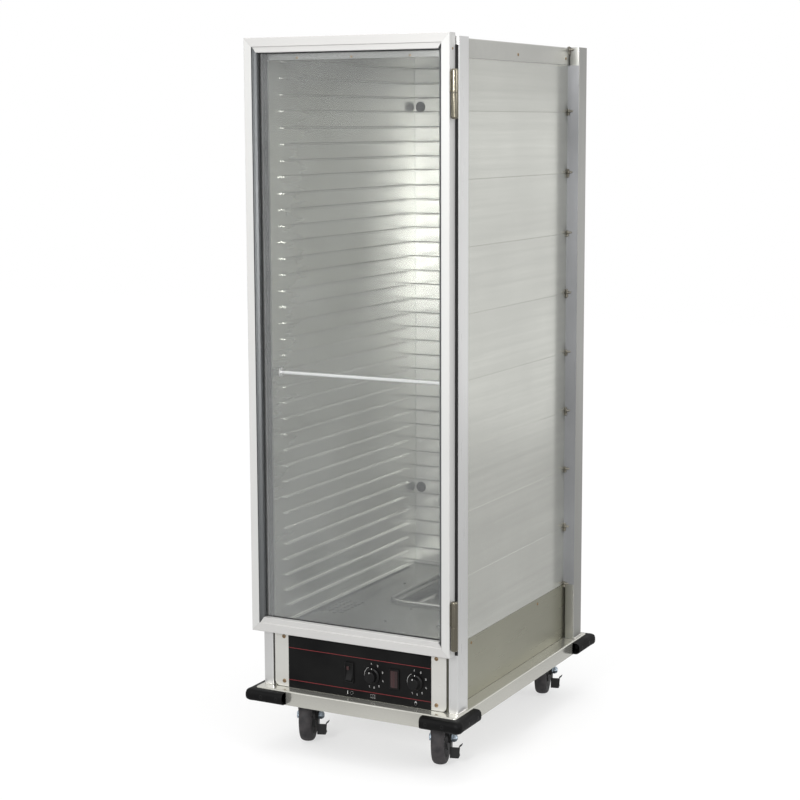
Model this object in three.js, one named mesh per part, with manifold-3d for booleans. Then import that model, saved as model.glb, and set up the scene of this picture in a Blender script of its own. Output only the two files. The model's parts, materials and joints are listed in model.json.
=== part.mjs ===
// A mobile proofing cabinet: a welded aluminium cabinet on swivel casters, with a clear door and a
// heat and humidity module under its floor. Millimetres, +Z up.
//
// Shapes are drawn from the front face of the front posts (Y = 0, +Y to the back), the middle of
// the cabinet (X = 0) and the floor it stands on (Z = 0). The whole group is then moved along Y so
// that the middle of its footprint is the origin.

import * as THREE from 'three';
import { mergeVertices } from 'three/addons/utils/BufferGeometryUtils.js';
import Module from 'manifold-3d';

const wasm = await Module();
wasm.setup();

const GAP = 0.3;
const SHEET = 2;

// Base and bumpers
const BASE_HALF_WIDTH = 267;
const BASE_FRONT = -29;
const BASE_BACK = 758;
const BASE_TOP = 160;
const BASE_FLANGE = 35.4;
const BUMPER_DEPTH = 19.7;
const BUMPER_HEIGHT = 29;
const BUMPER_DROP = 3.5;
const BUMPER_FRONT_LEG = 104;
const BUMPER_SIDE_LEG = 116;
const BUMPER_EDGE = 6;

// Posts
const POST_OUTER = 260;
const POST_WIDTH = 25.4;
const POST_DEPTH = 50.8;
const POST_WALL = 2.5;
const POST_TOP = 1685;
const REAR_POST_FRONT = 686.2;
const CABINET_BACK = 737;
const POST_INNER = POST_OUTER - POST_WIDTH;

// Extruded wall planks
const PLANK_HEIGHT = 152.4;
const PLANKS = 9;
const LEDGES_PER_PLANK = 4;
const WALL_BOTTOM = 305;
const WALL_OUTER = 230.3;
const WALL_SKIN = 2.5;
const LEDGE_DEPTH = 9.8;
const LEDGE_THICKNESS = 2.2;
const LEDGE_START = 51;
const LEDGE_END = 683;
const REAR_LEDGE_DEPTH = 6.5;
const WALL_FRONT = 4;
const WALL_BACK = 735;
const WALL_TOP = WALL_BOTTOM + PLANK_HEIGHT * PLANKS;
const LEDGE_PITCH = PLANK_HEIGHT / LEDGES_PER_PLANK;
const WALL_INNER = WALL_OUTER - WALL_SKIN;
const VENT_RADIUS = 12.5;
const VENT_X = 211;
const VENT_HEIGHTS = [515, 1541];

// Top pan, floor deck and cross bar
const TOP_FLANGE_BOTTOM = 1641;
const TOP_SURFACE = 1684.4;
const DECK_TOP = 302;
const DECK_FRONT_LIP = 9;
const PERFORATION_RADIUS = 3.3;
const PERFORATION_ROWS = 4;
const PERFORATION_COLUMNS = 7;
const PERFORATION_PITCH = 17;
const PERFORATION_CORNER = [-204, 182];
const CROSSBAR_HEIGHT = 918;
const CROSSBAR_SIZE = 7.6;
const CROSSBAR_Y = 25;
const CROSSBAR_FOOT = 10;

// Water pan, let into the deck by its rim
const PAN_LEFT = -106;
const PAN_FRONT = 340;
const PAN_WIDTH = 263.5;
const PAN_LENGTH = 324;
const PAN_RIM = 4;
const PAN_DEPTH = 45;
const PAN_WALL = 1.5;
const PAN_CORNER = 24;

// Door
const DOOR_LEFT = -272;
const DOOR_RIGHT = 253.7;
const DOOR_BOTTOM = 299.2;
const DOOR_TOP = 1691.6;
const DOOR_FRONT = -33;
const DOOR_REAR = -4.3;
const DOOR_BAND = 21;
const DOOR_LIP = 9;
const DOOR_LIP_SETBACK = 3.4;
const PANE_THICKNESS = 3;
const PANE_REVEAL = 16;
const PANE_SLOT_DEPTH = 6;
const DOOR_WIDTH = DOOR_BAND + DOOR_LIP;
const GASKET_INNER = 229;
const GASKET_WIDTH = 11;

// Lift-off hinges
const HINGE_X = 262.4;
const HINGE_Y = -25.5;
const KNUCKLE_RADIUS = 8.4;
const HINGE_PIN_RADIUS = 4;
const UPPER_HINGE = [1506, 1562, 1614];
const LOWER_HINGE = [316, 373, 432];
const HINGE_PIN_LENGTH = 30;
const LEAF_THICKNESS = 3;

// Heat and humidity module
const PANEL_HALF_WIDTH = 229.5;
const PANEL_BOTTOM = 160.8;
const PANEL_TOP = 292;
const PANEL_CORNER = 12;
const PANEL_FLANGE = 18;
const LABEL_HALF_WIDTH = 191;
const LABEL_THICKNESS = 0.8;
const CONTROL_HEIGHT = 221;
const SWITCH_X = -23.4;
const HEAT_KNOB_X = 38;
const INDICATOR_X = 96;
const HUMIDITY_KNOB_X = 151;
const KNOB_RADIUS = 19.5;
const KNOB_DEPTH = 17;
const SHAFT_RADIUS = 3;
const THERMOSTAT_SIZE = 44;
const THERMOSTAT_DEPTH = 34;
const TRAY_HALF_WIDTH = 224;
const TRAY_BACK = 560;
const TRAY_FLANGE = 20;
const FAN_X = -178;
const FAN_Y = 235;
const FAN_RADIUS = 40;
const FAN_BLADES = 6;
const ELEMENT_RADIUS = 4;
const ELEMENT_HEIGHT = 228;
const INLET_X = 150;
const INLET_Z = 205;

// Casters
const WHEEL_RADIUS = 63.5;
const WHEEL_WIDTH = 32;
const WHEEL_SIDES = 32;
const AXLE_RADIUS = 6;
const AXLE_HEIGHT = WHEEL_RADIUS * Math.cos(Math.PI / WHEEL_SIDES);
const CASTER_TRAIL = 38;
const KINGPIN_X = 180;
const KINGPIN_FRONT = 59;
const KINGPIN_REAR = 660;
const FORK_INNER = 19;
const FORK_LEG = 3.5;
const CASTER_PLATE = [90, 102, 3.5];
const SWIVEL_ANGLES = { front_left: 21, front_right: 16.7, rear_left: 18.5, rear_right: 15.7 };

const finishes = {
  aluminium: { color: 0xd8d8d2, roughness: 0.35, metalness: 0.9 },
  wallAluminium: { color: 0xb9bab2, roughness: 0.4, metalness: 0.9 },
  baseAluminium: { color: 0xb9b8b1, roughness: 0.45, metalness: 0.85 },
  stainless: { color: 0xc4c6c8, roughness: 0.25, metalness: 1 },
  zinc: { color: 0x9fa9b2, roughness: 0.35, metalness: 1 },
  nickel: { color: 0xb5a990, roughness: 0.3, metalness: 1 },
  darkSteel: { color: 0x2c2c2c, roughness: 0.5, metalness: 0.8 },
  rubber: { color: 0x17171a, roughness: 0.75, metalness: 0 },
  tread: { color: 0x4a484c, roughness: 0.7, metalness: 0 },
  label: { color: 0x151517, roughness: 0.35, metalness: 0 },
  plastic: { color: 0x1d1d1f, roughness: 0.4, metalness: 0 },
  lens: { color: 0x4a1113, roughness: 0.2, metalness: 0 },
  pane: { color: 0xe8eeee, roughness: 0.05, metalness: 0, transparent: true, opacity: 0.25 },
};

const cabinet = new THREE.Group();
cabinet.position.y = -(BASE_FRONT + BASE_BACK) / 2;

function addMesh(name, geometry, finish, parent = cabinet) {
  const mesh = new THREE.Mesh(geometry, new THREE.MeshStandardMaterial(finishes[finish]));
  mesh.name = name;
  parent.add(mesh);
  return mesh;
}

// Joining and cutting closed solids

function toSolid(geometry) {
  const bare = geometry.clone();
  bare.deleteAttribute('normal');
  bare.deleteAttribute('uv');
  const merged = mergeVertices(bare, 1e-4);
  const vertProperties = new Float32Array(merged.attributes.position.array);
  const triVerts = new Uint32Array(merged.index.array);
  return new wasm.Manifold(new wasm.Mesh({ numProp: 3, vertProperties, triVerts }));
}

function toGeometry(solid) {
  const mesh = solid.getMesh();
  const geometry = new THREE.BufferGeometry();
  geometry.setAttribute('position', new THREE.BufferAttribute(mesh.vertProperties, 3));
  geometry.setIndex(new THREE.BufferAttribute(mesh.triVerts, 1));
  return geometry;
}

function join(...geometries) {
  return toGeometry(geometries.map(toSolid).reduce((whole, piece) => whole.add(piece)));
}

function cut(geometry, ...tools) {
  return toGeometry(tools.map(toSolid).reduce((whole, tool) => whole.subtract(tool), toSolid(geometry)));
}

// Plain shapes, placed by their limits

function block([x0, x1], [y0, y1], [z0, z1]) {
  const geometry = new THREE.BoxGeometry(x1 - x0, y1 - y0, z1 - z0);
  return geometry.translate((x0 + x1) / 2, (y0 + y1) / 2, (z0 + z1) / 2);
}

function outline(points) {
  return new THREE.Shape(points.map(([a, b]) => new THREE.Vector2(a, b)));
}

function roundedRectangle([a0, a1], [b0, b1], radius, steps = 4) {
  const corners = [[a1, b0, -90], [a1, b1, 0], [a0, b1, 90], [a0, b0, 180]];
  const points = [];
  for (const [a, b, startAngle] of corners) {
    const centreA = a - Math.sign(a - a0 || -1) * radius;
    const centreB = b - Math.sign(b - b0 || -1) * radius;
    for (let step = 0; step <= steps; step += 1) {
      const angle = THREE.MathUtils.degToRad(startAngle + (90 * step) / steps);
      points.push([centreA + radius * Math.cos(angle), centreB + radius * Math.sin(angle)]);
    }
  }
  return outline(points);
}

function extrude(shape, depth, bevel = 0) {
  return new THREE.ExtrudeGeometry(shape, {
    depth: depth - 2 * bevel,
    bevelEnabled: bevel > 0,
    bevelThickness: bevel,
    bevelSize: bevel,
    bevelOffset: -bevel,
    bevelSegments: 2,
    curveSegments: 5,
  }).translate(0, 0, bevel);
}

// A shape in X and Z, run along Y
function extrudeAlongY(shape, [y0, y1]) {
  return extrude(shape, y1 - y0).rotateX(Math.PI / 2).translate(0, y1, 0);
}

// A shape in Y and Z, run along X
function extrudeAlongX(shape, [x0, x1]) {
  return extrude(shape, x1 - x0).rotateY(Math.PI / 2).rotateX(Math.PI / 2).translate(x0, 0, 0);
}

// A profile of radius and height turned about Z
function turn(points, sides, startAngle = 0) {
  const profile = points.map(([radius, height]) => new THREE.Vector2(radius, height));
  return new THREE.LatheGeometry(profile, sides, startAngle).rotateX(Math.PI / 2);
}

function rod(radius, [z0, z1], sides = 16) {
  return turn([[0, z0], [radius, z0], [radius, z1], [0, z1]], sides);
}

// Turns a shape made about Z so that its axis lies along Y, top end to the front
function aimForward(geometry) {
  return geometry.rotateX(Math.PI / 2);
}

// Turns a shape made about Z so that its axis lies along X
function aimRight(geometry) {
  return geometry.rotateY(Math.PI / 2);
}

// Base

function basePan() {
  const outside = block(
    [-BASE_HALF_WIDTH, BASE_HALF_WIDTH],
    [BASE_FRONT, BASE_BACK],
    [BASE_TOP - BASE_FLANGE, BASE_TOP],
  );
  const inside = block(
    [-BASE_HALF_WIDTH + SHEET, BASE_HALF_WIDTH - SHEET],
    [BASE_FRONT + SHEET, BASE_BACK - SHEET],
    [BASE_TOP - BASE_FLANGE - 1, BASE_TOP - SHEET],
  );
  return cut(outside, inside);
}

// An L of rubber around one corner of the base, drawn for the front right corner
function bumper() {
  const outer = BUMPER_DEPTH + GAP;
  const capRadius = BUMPER_DEPTH / 2;
  const shape = new THREE.Shape();
  shape.moveTo(-BUMPER_FRONT_LEG + outer + capRadius, -outer);
  shape.lineTo(outer - capRadius, -outer);
  shape.absarc(outer - capRadius, -outer + capRadius, capRadius, -Math.PI / 2, 0, false);
  shape.lineTo(outer, BUMPER_SIDE_LEG - outer - capRadius);
  shape.absarc(outer - capRadius, BUMPER_SIDE_LEG - outer - capRadius, capRadius, 0, Math.PI, false);
  shape.lineTo(GAP, -GAP);
  shape.lineTo(-BUMPER_FRONT_LEG + outer + capRadius, -GAP);
  shape.absarc(
    -BUMPER_FRONT_LEG + outer + capRadius, -outer + capRadius, capRadius, Math.PI / 2, 1.5 * Math.PI, false,
  );
  return new THREE.ExtrudeGeometry(shape, {
    depth: BUMPER_HEIGHT - 2 * BUMPER_EDGE,
    bevelThickness: BUMPER_EDGE,
    bevelSize: BUMPER_EDGE,
    bevelOffset: -BUMPER_EDGE,
    bevelSegments: 2,
    curveSegments: 4,
  }).translate(0, 0, BASE_TOP - BUMPER_DROP - BUMPER_HEIGHT + BUMPER_EDGE);
}

function mirrored(geometry, sideX, sideY) {
  const copy = toSolid(geometry).transform([sideX, 0, 0, 0, 0, sideY, 0, 0, 0, 0, 1, 0, 0, 0, 0, 1]);
  return toGeometry(copy);
}

function addBase() {
  addMesh('base_pan', basePan(), 'baseAluminium');
  for (const [name, sideX, sideY] of corners()) {
    const geometry = mirrored(bumper(), sideX, sideY);
    const edgeY = sideY > 0 ? BASE_FRONT : BASE_BACK;
    geometry.translate(sideX * BASE_HALF_WIDTH, edgeY, 0);
    addMesh(`bumper_${name}`, geometry, 'rubber');
  }
}

// Each corner's name, its side along X and whether it faces the front (1) or the back (-1)
function corners() {
  return [
    ['front_left', -1, 1],
    ['front_right', 1, 1],
    ['rear_left', -1, -1],
    ['rear_right', 1, -1],
  ];
}

// Cabinet frame and walls

function post(sideX, front) {
  const middleX = sideX * (POST_OUTER - POST_WIDTH / 2);
  const tube = (inset, z0, z1) => block(
    [middleX - POST_WIDTH / 2 + inset, middleX + POST_WIDTH / 2 - inset],
    [front + inset, front + POST_DEPTH - inset],
    [z0, z1],
  );
  return cut(tube(0, BASE_TOP + GAP, POST_TOP), tube(POST_WALL, BASE_TOP - 1, POST_TOP - POST_WALL));
}

// The section of a ledged wall: distance inwards from its outer face, and height
function plankSection(ledgeDepth) {
  const groove = 0.6;
  const points = [[0, WALL_BOTTOM]];
  for (let joint = 1; joint < PLANKS; joint += 1) {
    const height = WALL_BOTTOM + joint * PLANK_HEIGHT;
    points.push([0, height - groove], [groove, height], [0, height + groove]);
  }
  points.push([0, WALL_TOP], [WALL_SKIN, WALL_TOP]);
  for (let ledge = PLANKS * LEDGES_PER_PLANK - 1; ledge >= 0; ledge -= 1) {
    const height = WALL_BOTTOM + ledge * LEDGE_PITCH;
    const tip = WALL_SKIN + ledgeDepth;
    points.push([WALL_SKIN, height + LEDGE_THICKNESS], [tip, height + LEDGE_THICKNESS], [tip, height]);
    if (ledge > 0) points.push([WALL_SKIN, height]);
  }
  return points;
}

// Planks with ledges between the posts, plain where they pass the posts, and packed out to them
function sideWall(side) {
  const across = (inset) => side * (WALL_OUTER - inset);
  const span = (inset0, inset1) => [across(inset0), across(inset1)].sort((a, b) => a - b);
  const section = outline(plankSection(LEDGE_DEPTH).map(([inset, height]) => [across(inset), height]));
  const ledgeStub = 0.1;
  const ledges = span(WALL_SKIN + ledgeStub, WALL_SKIN + LEDGE_DEPTH + 1);
  const plain = ([y0, y1]) => block(ledges, [y0, y1], [WALL_BOTTOM - 1, WALL_TOP + 1]);
  const spacer = ([y0, y1]) => block(
    span(WALL_SKIN / 2, WALL_OUTER - POST_INNER + GAP),
    [y0, y1],
    [WALL_BOTTOM + 1, TOP_FLANGE_BOTTOM - 1],
  );
  const bare = cut(
    extrudeAlongY(section, [WALL_FRONT, WALL_BACK]),
    plain([WALL_FRONT - 1, LEDGE_START]),
    plain([LEDGE_END, WALL_BACK + 1]),
  );
  return join(
    bare,
    spacer([WALL_FRONT + 1, POST_DEPTH]),
    spacer([REAR_POST_FRONT, WALL_BACK - 1]),
  );
}

function rearWall() {
  const halfWidth = WALL_INNER - GAP;
  const points = plankSection(REAR_LEDGE_DEPTH).map(([inset, height]) => [WALL_BACK - inset, height]);
  const section = outline(points);
  const vents = [];
  for (const height of VENT_HEIGHTS) {
    for (const side of [-1, 1]) {
      const hole = aimForward(rod(VENT_RADIUS, [-WALL_BACK - 5, -WALL_BACK + 20]));
      vents.push(hole.translate(side * VENT_X, 0, height));
    }
  }
  return cut(extrudeAlongX(section, [-halfWidth, halfWidth]), ...vents);
}

function skirt(side) {
  const span = [side * (WALL_OUTER - SHEET), side * WALL_OUTER].sort((a, b) => a - b);
  return block(span, [WALL_FRONT, WALL_BACK], [BASE_TOP + GAP, WALL_BOTTOM - GAP]);
}

function rearLowerPanel() {
  const halfWidth = WALL_OUTER - SHEET - GAP;
  const sheet = block(
    [-halfWidth, halfWidth],
    [WALL_BACK - SHEET, WALL_BACK],
    [BASE_TOP + GAP, WALL_BOTTOM - GAP],
  );
  const inlet = aimForward(rod(11, [-WALL_BACK - 5, -WALL_BACK + 5])).translate(INLET_X, 0, INLET_Z);
  return cut(sheet, inlet);
}

function topPan() {
  const halfWidth = WALL_OUTER + GAP + SHEET;
  const outside = block(
    [-halfWidth, halfWidth],
    [GAP, CABINET_BACK - GAP],
    [TOP_FLANGE_BOTTOM, TOP_SURFACE],
  );
  const inside = block(
    [-halfWidth + SHEET, halfWidth - SHEET],
    [GAP + SHEET, WALL_BACK + GAP],
    [TOP_FLANGE_BOTTOM - 1, TOP_SURFACE - SHEET],
  );
  return cut(outside, inside);
}

function panOpening(inset) {
  return roundedRectangle(
    [PAN_LEFT + inset, PAN_LEFT + PAN_WIDTH - inset],
    [PAN_FRONT + inset, PAN_FRONT + PAN_LENGTH - inset],
    PAN_CORNER,
  );
}

// A sheet folded up along its sides and back and down along its front
function floorDeck() {
  const halfWidth = WALL_OUTER - SHEET - GAP;
  const back = WALL_BACK - SHEET - GAP;
  const past = 1;
  const blank = block(
    [-halfWidth, halfWidth],
    [WALL_FRONT, back],
    [DECK_TOP - DECK_FRONT_LIP, WALL_BOTTOM - GAP],
  );
  const above = block(
    [-halfWidth + SHEET, halfWidth - SHEET],
    [WALL_FRONT - past, back - SHEET],
    [DECK_TOP, WALL_BOTTOM + past],
  );
  const below = block(
    [-halfWidth - past, halfWidth + past],
    [WALL_FRONT + SHEET, back + past],
    [DECK_TOP - DECK_FRONT_LIP - past, DECK_TOP - SHEET],
  );
  const holes = [extrude(panOpening(PAN_RIM - 0.5), 20).translate(0, 0, DECK_TOP - 10)];
  for (let row = 0; row < PERFORATION_ROWS; row += 1) {
    for (let column = 0; column < PERFORATION_COLUMNS; column += 1) {
      const hole = rod(PERFORATION_RADIUS, [DECK_TOP - 10, DECK_TOP + 10], 8);
      const [x, y] = PERFORATION_CORNER;
      const stagger = ((row % 2) * PERFORATION_PITCH) / 2;
      holes.push(hole.translate(x + row * PERFORATION_PITCH, y + stagger + column * PERFORATION_PITCH, 0));
    }
  }
  return cut(blank, above, below, ...holes);
}

// A square bar between the side walls' ledges, with a foot plate at each end
function crossbar() {
  const half = CROSSBAR_SIZE / 2;
  const end = WALL_INNER - LEDGE_DEPTH - GAP;
  const depth = [CROSSBAR_Y - half, CROSSBAR_Y + half];
  const bar = block([-end, end], depth, [CROSSBAR_HEIGHT - half, CROSSBAR_HEIGHT + half]);
  const feet = [-end, end - SHEET].map((x) => block(
    [x, x + SHEET],
    [CROSSBAR_Y - CROSSBAR_FOOT, CROSSBAR_Y + CROSSBAR_FOOT],
    [CROSSBAR_HEIGHT - CROSSBAR_FOOT, CROSSBAR_HEIGHT + CROSSBAR_FOOT],
  ));
  return join(bar, ...feet);
}

function waterPan() {
  const bottom = DECK_TOP + GAP + PAN_WALL - PAN_DEPTH;
  const rim = extrude(panOpening(0), PAN_WALL).translate(0, 0, DECK_TOP + GAP);
  const bowl = extrude(panOpening(PAN_RIM), PAN_DEPTH - PAN_WALL / 2).translate(0, 0, bottom);
  const hollow = extrude(panOpening(PAN_RIM + PAN_WALL), PAN_DEPTH + 10).translate(0, 0, bottom + PAN_WALL);
  return cut(join(rim, bowl), hollow);
}

function addCabinet() {
  for (const [name, sideX, sideY] of corners()) {
    addMesh(`post_${name}`, post(sideX, sideY > 0 ? 0 : REAR_POST_FRONT), 'aluminium');
  }
  addMesh('side_wall_left', sideWall(-1), 'wallAluminium');
  addMesh('side_wall_right', sideWall(1), 'wallAluminium');
  addMesh('rear_wall', rearWall(), 'wallAluminium');
  addMesh('side_skirt_left', skirt(-1), 'wallAluminium');
  addMesh('side_skirt_right', skirt(1), 'wallAluminium');
  addMesh('rear_lower_panel', rearLowerPanel(), 'wallAluminium');
  addMesh('top_pan', topPan(), 'aluminium');
  addMesh('floor_deck', floorDeck(), 'stainless');
  addMesh('crossbar', crossbar(), 'aluminium');
  addMesh('water_pan', waterPan(), 'stainless');
}

// Door

// The door frame's section: distance inwards from the door's edge, and depth
function doorSection() {
  const lipFront = DOOR_FRONT + DOOR_LIP_SETBACK;
  const slotFront = lipFront + PANE_REVEAL;
  const slotRear = slotFront + PANE_THICKNESS + 2 * GAP;
  const slotEnd = DOOR_WIDTH - PANE_SLOT_DEPTH;
  return [
    [0, DOOR_FRONT],
    [DOOR_BAND, DOOR_FRONT],
    [DOOR_BAND, lipFront],
    [DOOR_WIDTH, lipFront],
    [DOOR_WIDTH, slotFront],
    [slotEnd, slotFront],
    [slotEnd, slotRear],
    [DOOR_WIDTH, slotRear],
    [DOOR_WIDTH, DOOR_REAR],
    [0, DOOR_REAR],
  ];
}

// Cuts both ends of a frame bar at 45 degrees, inwards by each vertex's distance from the door's edge
function mitre(geometry, axis, [start, end], insetOf) {
  const position = geometry.attributes.position;
  const vertex = new THREE.Vector3();
  for (let index = 0; index < position.count; index += 1) {
    vertex.fromBufferAttribute(position, index);
    const along = vertex.getComponent(axis);
    const shift = insetOf(vertex) + GAP * 0.75;
    position.setComponent(index, axis, along < (start + end) / 2 ? start + shift : end - shift);
  }
  return geometry;
}

function doorStile(edge, inwards) {
  const shape = outline(doorSection().map(([inset, y]) => [edge + inwards * inset, y]));
  const bar = extrude(shape, DOOR_TOP - DOOR_BOTTOM).translate(0, 0, DOOR_BOTTOM);
  return mitre(bar, 2, [DOOR_BOTTOM, DOOR_TOP], (vertex) => Math.abs(vertex.x - edge));
}

function doorRail(edge, inwards) {
  const shape = outline(doorSection().map(([inset, y]) => [y, edge + inwards * inset]));
  const bar = extrudeAlongX(shape, [DOOR_LEFT, DOOR_RIGHT]);
  return mitre(bar, 0, [DOOR_LEFT, DOOR_RIGHT], (vertex) => Math.abs(vertex.z - edge));
}

function doorPane() {
  const inset = DOOR_WIDTH - PANE_SLOT_DEPTH + GAP;
  const front = DOOR_FRONT + DOOR_LIP_SETBACK + PANE_REVEAL + GAP;
  return block(
    [DOOR_LEFT + inset, DOOR_RIGHT - inset],
    [front, front + PANE_THICKNESS],
    [DOOR_BOTTOM + inset, DOOR_TOP - inset],
  );
}

function doorGasket() {
  const ring = (halfWidth, z0, z1, y0, y1) => block([-halfWidth, halfWidth], [y0, y1], [z0, z1]);
  const outer = GASKET_INNER + GASKET_WIDTH;
  const bottom = DOOR_BOTTOM + GAP;
  const top = TOP_FLANGE_BOTTOM + 25;
  return cut(
    ring(outer, bottom, top, DOOR_REAR + GAP, -GAP),
    ring(GASKET_INNER, bottom + GASKET_WIDTH, top - GASKET_WIDTH, DOOR_REAR - 5, 5),
  );
}

// A barrel end rounded like a capsule, from its flat end to its round end
function knuckleProfile(flat, round) {
  const direction = Math.sign(round - flat);
  const edge = 5;
  const steps = 3;
  const points = [];
  for (let step = 0; step <= steps; step += 1) {
    const angle = (Math.PI / 2) * (step / steps);
    const radius = KNUCKLE_RADIUS - edge + edge * Math.cos(angle);
    points.push([radius, round - direction * edge * (1 - Math.sin(angle))]);
  }
  return points;
}

function postKnuckle([bottom, split]) {
  const profile = [
    [0, bottom],
    ...knuckleProfile(split, bottom).reverse(),
    [KNUCKLE_RADIUS, split - GAP / 2],
    [HINGE_PIN_RADIUS, split - GAP / 2],
    [HINGE_PIN_RADIUS, split + HINGE_PIN_LENGTH],
    [0, split + HINGE_PIN_LENGTH],
  ];
  const barrel = turn(profile, 16).translate(HINGE_X, HINGE_Y, 0);
  const arm = block(
    [POST_OUTER - LEAF_THICKNESS - 1, POST_OUTER - 1],
    [HINGE_Y, -GAP],
    [bottom + 8, split - 2],
  );
  return join(barrel, arm);
}

function doorKnuckle([, split, top]) {
  const bore = HINGE_PIN_RADIUS + GAP;
  const profile = [
    [bore, split + GAP / 2],
    [KNUCKLE_RADIUS, split + GAP / 2],
    ...knuckleProfile(split, top),
    [0, top],
    [0, split + HINGE_PIN_LENGTH + 2],
    [bore, split + HINGE_PIN_LENGTH + 2],
    [bore, split + GAP / 2],
  ];
  const barrel = turn(profile, 16).translate(HINGE_X, HINGE_Y, 0);
  const leaf = block(
    [DOOR_RIGHT + GAP, DOOR_RIGHT + GAP + LEAF_THICKNESS],
    [HINGE_Y - 4, DOOR_REAR - 3],
    [split + 2, top - 8],
  );
  const clearance = rod(bore, [split - 5, split + HINGE_PIN_LENGTH + 2]).translate(HINGE_X, HINGE_Y, 0);
  return cut(join(barrel, leaf), clearance);
}

function addDoor() {
  addMesh('door_stile_left', doorStile(DOOR_LEFT, 1), 'aluminium');
  addMesh('door_stile_right', doorStile(DOOR_RIGHT, -1), 'aluminium');
  addMesh('door_rail_top', doorRail(DOOR_TOP, -1), 'aluminium');
  addMesh('door_rail_bottom', doorRail(DOOR_BOTTOM, 1), 'aluminium');
  addMesh('door_pane', doorPane(), 'pane');
  addMesh('door_gasket', doorGasket(), 'rubber');
  addMesh('hinge_upper_post_knuckle', postKnuckle(UPPER_HINGE), 'nickel');
  addMesh('hinge_upper_door_knuckle', doorKnuckle(UPPER_HINGE), 'nickel');
  addMesh('hinge_lower_post_knuckle', postKnuckle(LOWER_HINGE), 'nickel');
  addMesh('hinge_lower_door_knuckle', doorKnuckle(LOWER_HINGE), 'nickel');
}

// Heat and humidity module

const SWITCH_SIZE = [24, 50];
const SWITCH_BODY = [20, 44];
const INDICATOR_SIZE = [26, 48];
const LABEL_FRONT = -GAP - LABEL_THICKNESS;
const BEZEL_DEPTH = 4;
const ROCKER_TILT = 8;

function centred(x, z, [width, height], [y0, y1]) {
  return block([x - width / 2, x + width / 2], [y0, y1], [z - height / 2, z + height / 2]);
}

// The openings in the panel and its label for the switch, the lamp and the two shafts
function controlHoles() {
  const through = [-10, 10];
  const clear = 2 * GAP;
  const holes = [SWITCH_X, INDICATOR_X].map((x) => centred(
    x, CONTROL_HEIGHT, [SWITCH_BODY[0] + clear, SWITCH_BODY[1] + clear], through,
  ));
  for (const x of [HEAT_KNOB_X, HUMIDITY_KNOB_X]) {
    holes.push(aimForward(rod(SHAFT_RADIUS + 1.5, through)).translate(x, 0, CONTROL_HEIGHT));
  }
  return holes;
}

function controlPanel() {
  const cornerX = PANEL_HALF_WIDTH - PANEL_CORNER;
  const cornerZ = PANEL_BOTTOM + PANEL_CORNER;
  const face = new THREE.Shape();
  face.moveTo(-PANEL_HALF_WIDTH, PANEL_TOP);
  face.lineTo(-PANEL_HALF_WIDTH, PANEL_BOTTOM + PANEL_CORNER);
  face.absarc(-cornerX, cornerZ, PANEL_CORNER, Math.PI, 1.5 * Math.PI, false);
  face.lineTo(cornerX, PANEL_BOTTOM);
  face.absarc(cornerX, cornerZ, PANEL_CORNER, 1.5 * Math.PI, 2 * Math.PI, false);
  face.lineTo(PANEL_HALF_WIDTH, PANEL_TOP);
  const front = extrudeAlongY(face, [0, SHEET]);
  const topFlange = block(
    [-TRAY_HALF_WIDTH, TRAY_HALF_WIDTH],
    [SHEET / 2, PANEL_FLANGE],
    [PANEL_TOP - SHEET - 0.5, PANEL_TOP - 0.5],
  );
  return cut(join(front, topFlange), ...controlHoles());
}

function panelLabel() {
  const sheet = block(
    [-LABEL_HALF_WIDTH, LABEL_HALF_WIDTH],
    [LABEL_FRONT, -GAP],
    [PANEL_BOTTOM + 0.5, PANEL_TOP - 3],
  );
  return cut(sheet, ...controlHoles());
}

function switchHousing() {
  const front = LABEL_FRONT - GAP;
  const bezel = centred(SWITCH_X, CONTROL_HEIGHT, SWITCH_SIZE, [front - BEZEL_DEPTH, front]);
  const body = centred(SWITCH_X, CONTROL_HEIGHT, SWITCH_BODY, [front - 1, 30]);
  const well = centred(SWITCH_X, CONTROL_HEIGHT, [17.4, 42], [front - BEZEL_DEPTH - 5, 12]);
  return cut(join(bezel, body), well);
}

// A shallow V seen from the side, turned about its middle to the off position
function powerRocker() {
  const half = 19;
  const shape = outline([[-3, -half], [-1, 0], [-3, half], [5, half - 2], [8, 0], [5, -half + 2]]);
  const rocker = extrudeAlongX(shape, [-8, 8]).rotateX(THREE.MathUtils.degToRad(-ROCKER_TILT));
  return rocker.translate(SWITCH_X, LABEL_FRONT - 1, CONTROL_HEIGHT);
}

function heatIndicator() {
  const front = LABEL_FRONT - GAP;
  const lens = centred(INDICATOR_X, CONTROL_HEIGHT, INDICATOR_SIZE, [front - BEZEL_DEPTH, front]);
  const body = centred(INDICATOR_X, CONTROL_HEIGHT, SWITCH_BODY, [front - 1, 26]);
  return join(lens, body);
}

// A round knob with a finger bar across it, on its shaft
function controlKnob(x) {
  const rear = -(LABEL_FRONT - 1);
  const skirtHeight = 5;
  const profile = [
    [0, -SHEET - 1],
    [SHAFT_RADIUS, -SHEET - 1],
    [SHAFT_RADIUS, rear],
    [KNOB_RADIUS, rear],
    [KNOB_RADIUS, rear + skirtHeight],
    [KNOB_RADIUS * 0.72, rear + skirtHeight + 1],
    [KNOB_RADIUS * 0.66, rear + KNOB_DEPTH],
    [0, rear + KNOB_DEPTH],
  ];
  return aimForward(turn(profile, 24)).translate(x, 0, CONTROL_HEIGHT);
}

function thermostat(x) {
  const front = SHEET + 1 + GAP;
  return centred(x, CONTROL_HEIGHT, [THERMOSTAT_SIZE, THERMOSTAT_SIZE], [front, front + THERMOSTAT_DEPTH]);
}

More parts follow.
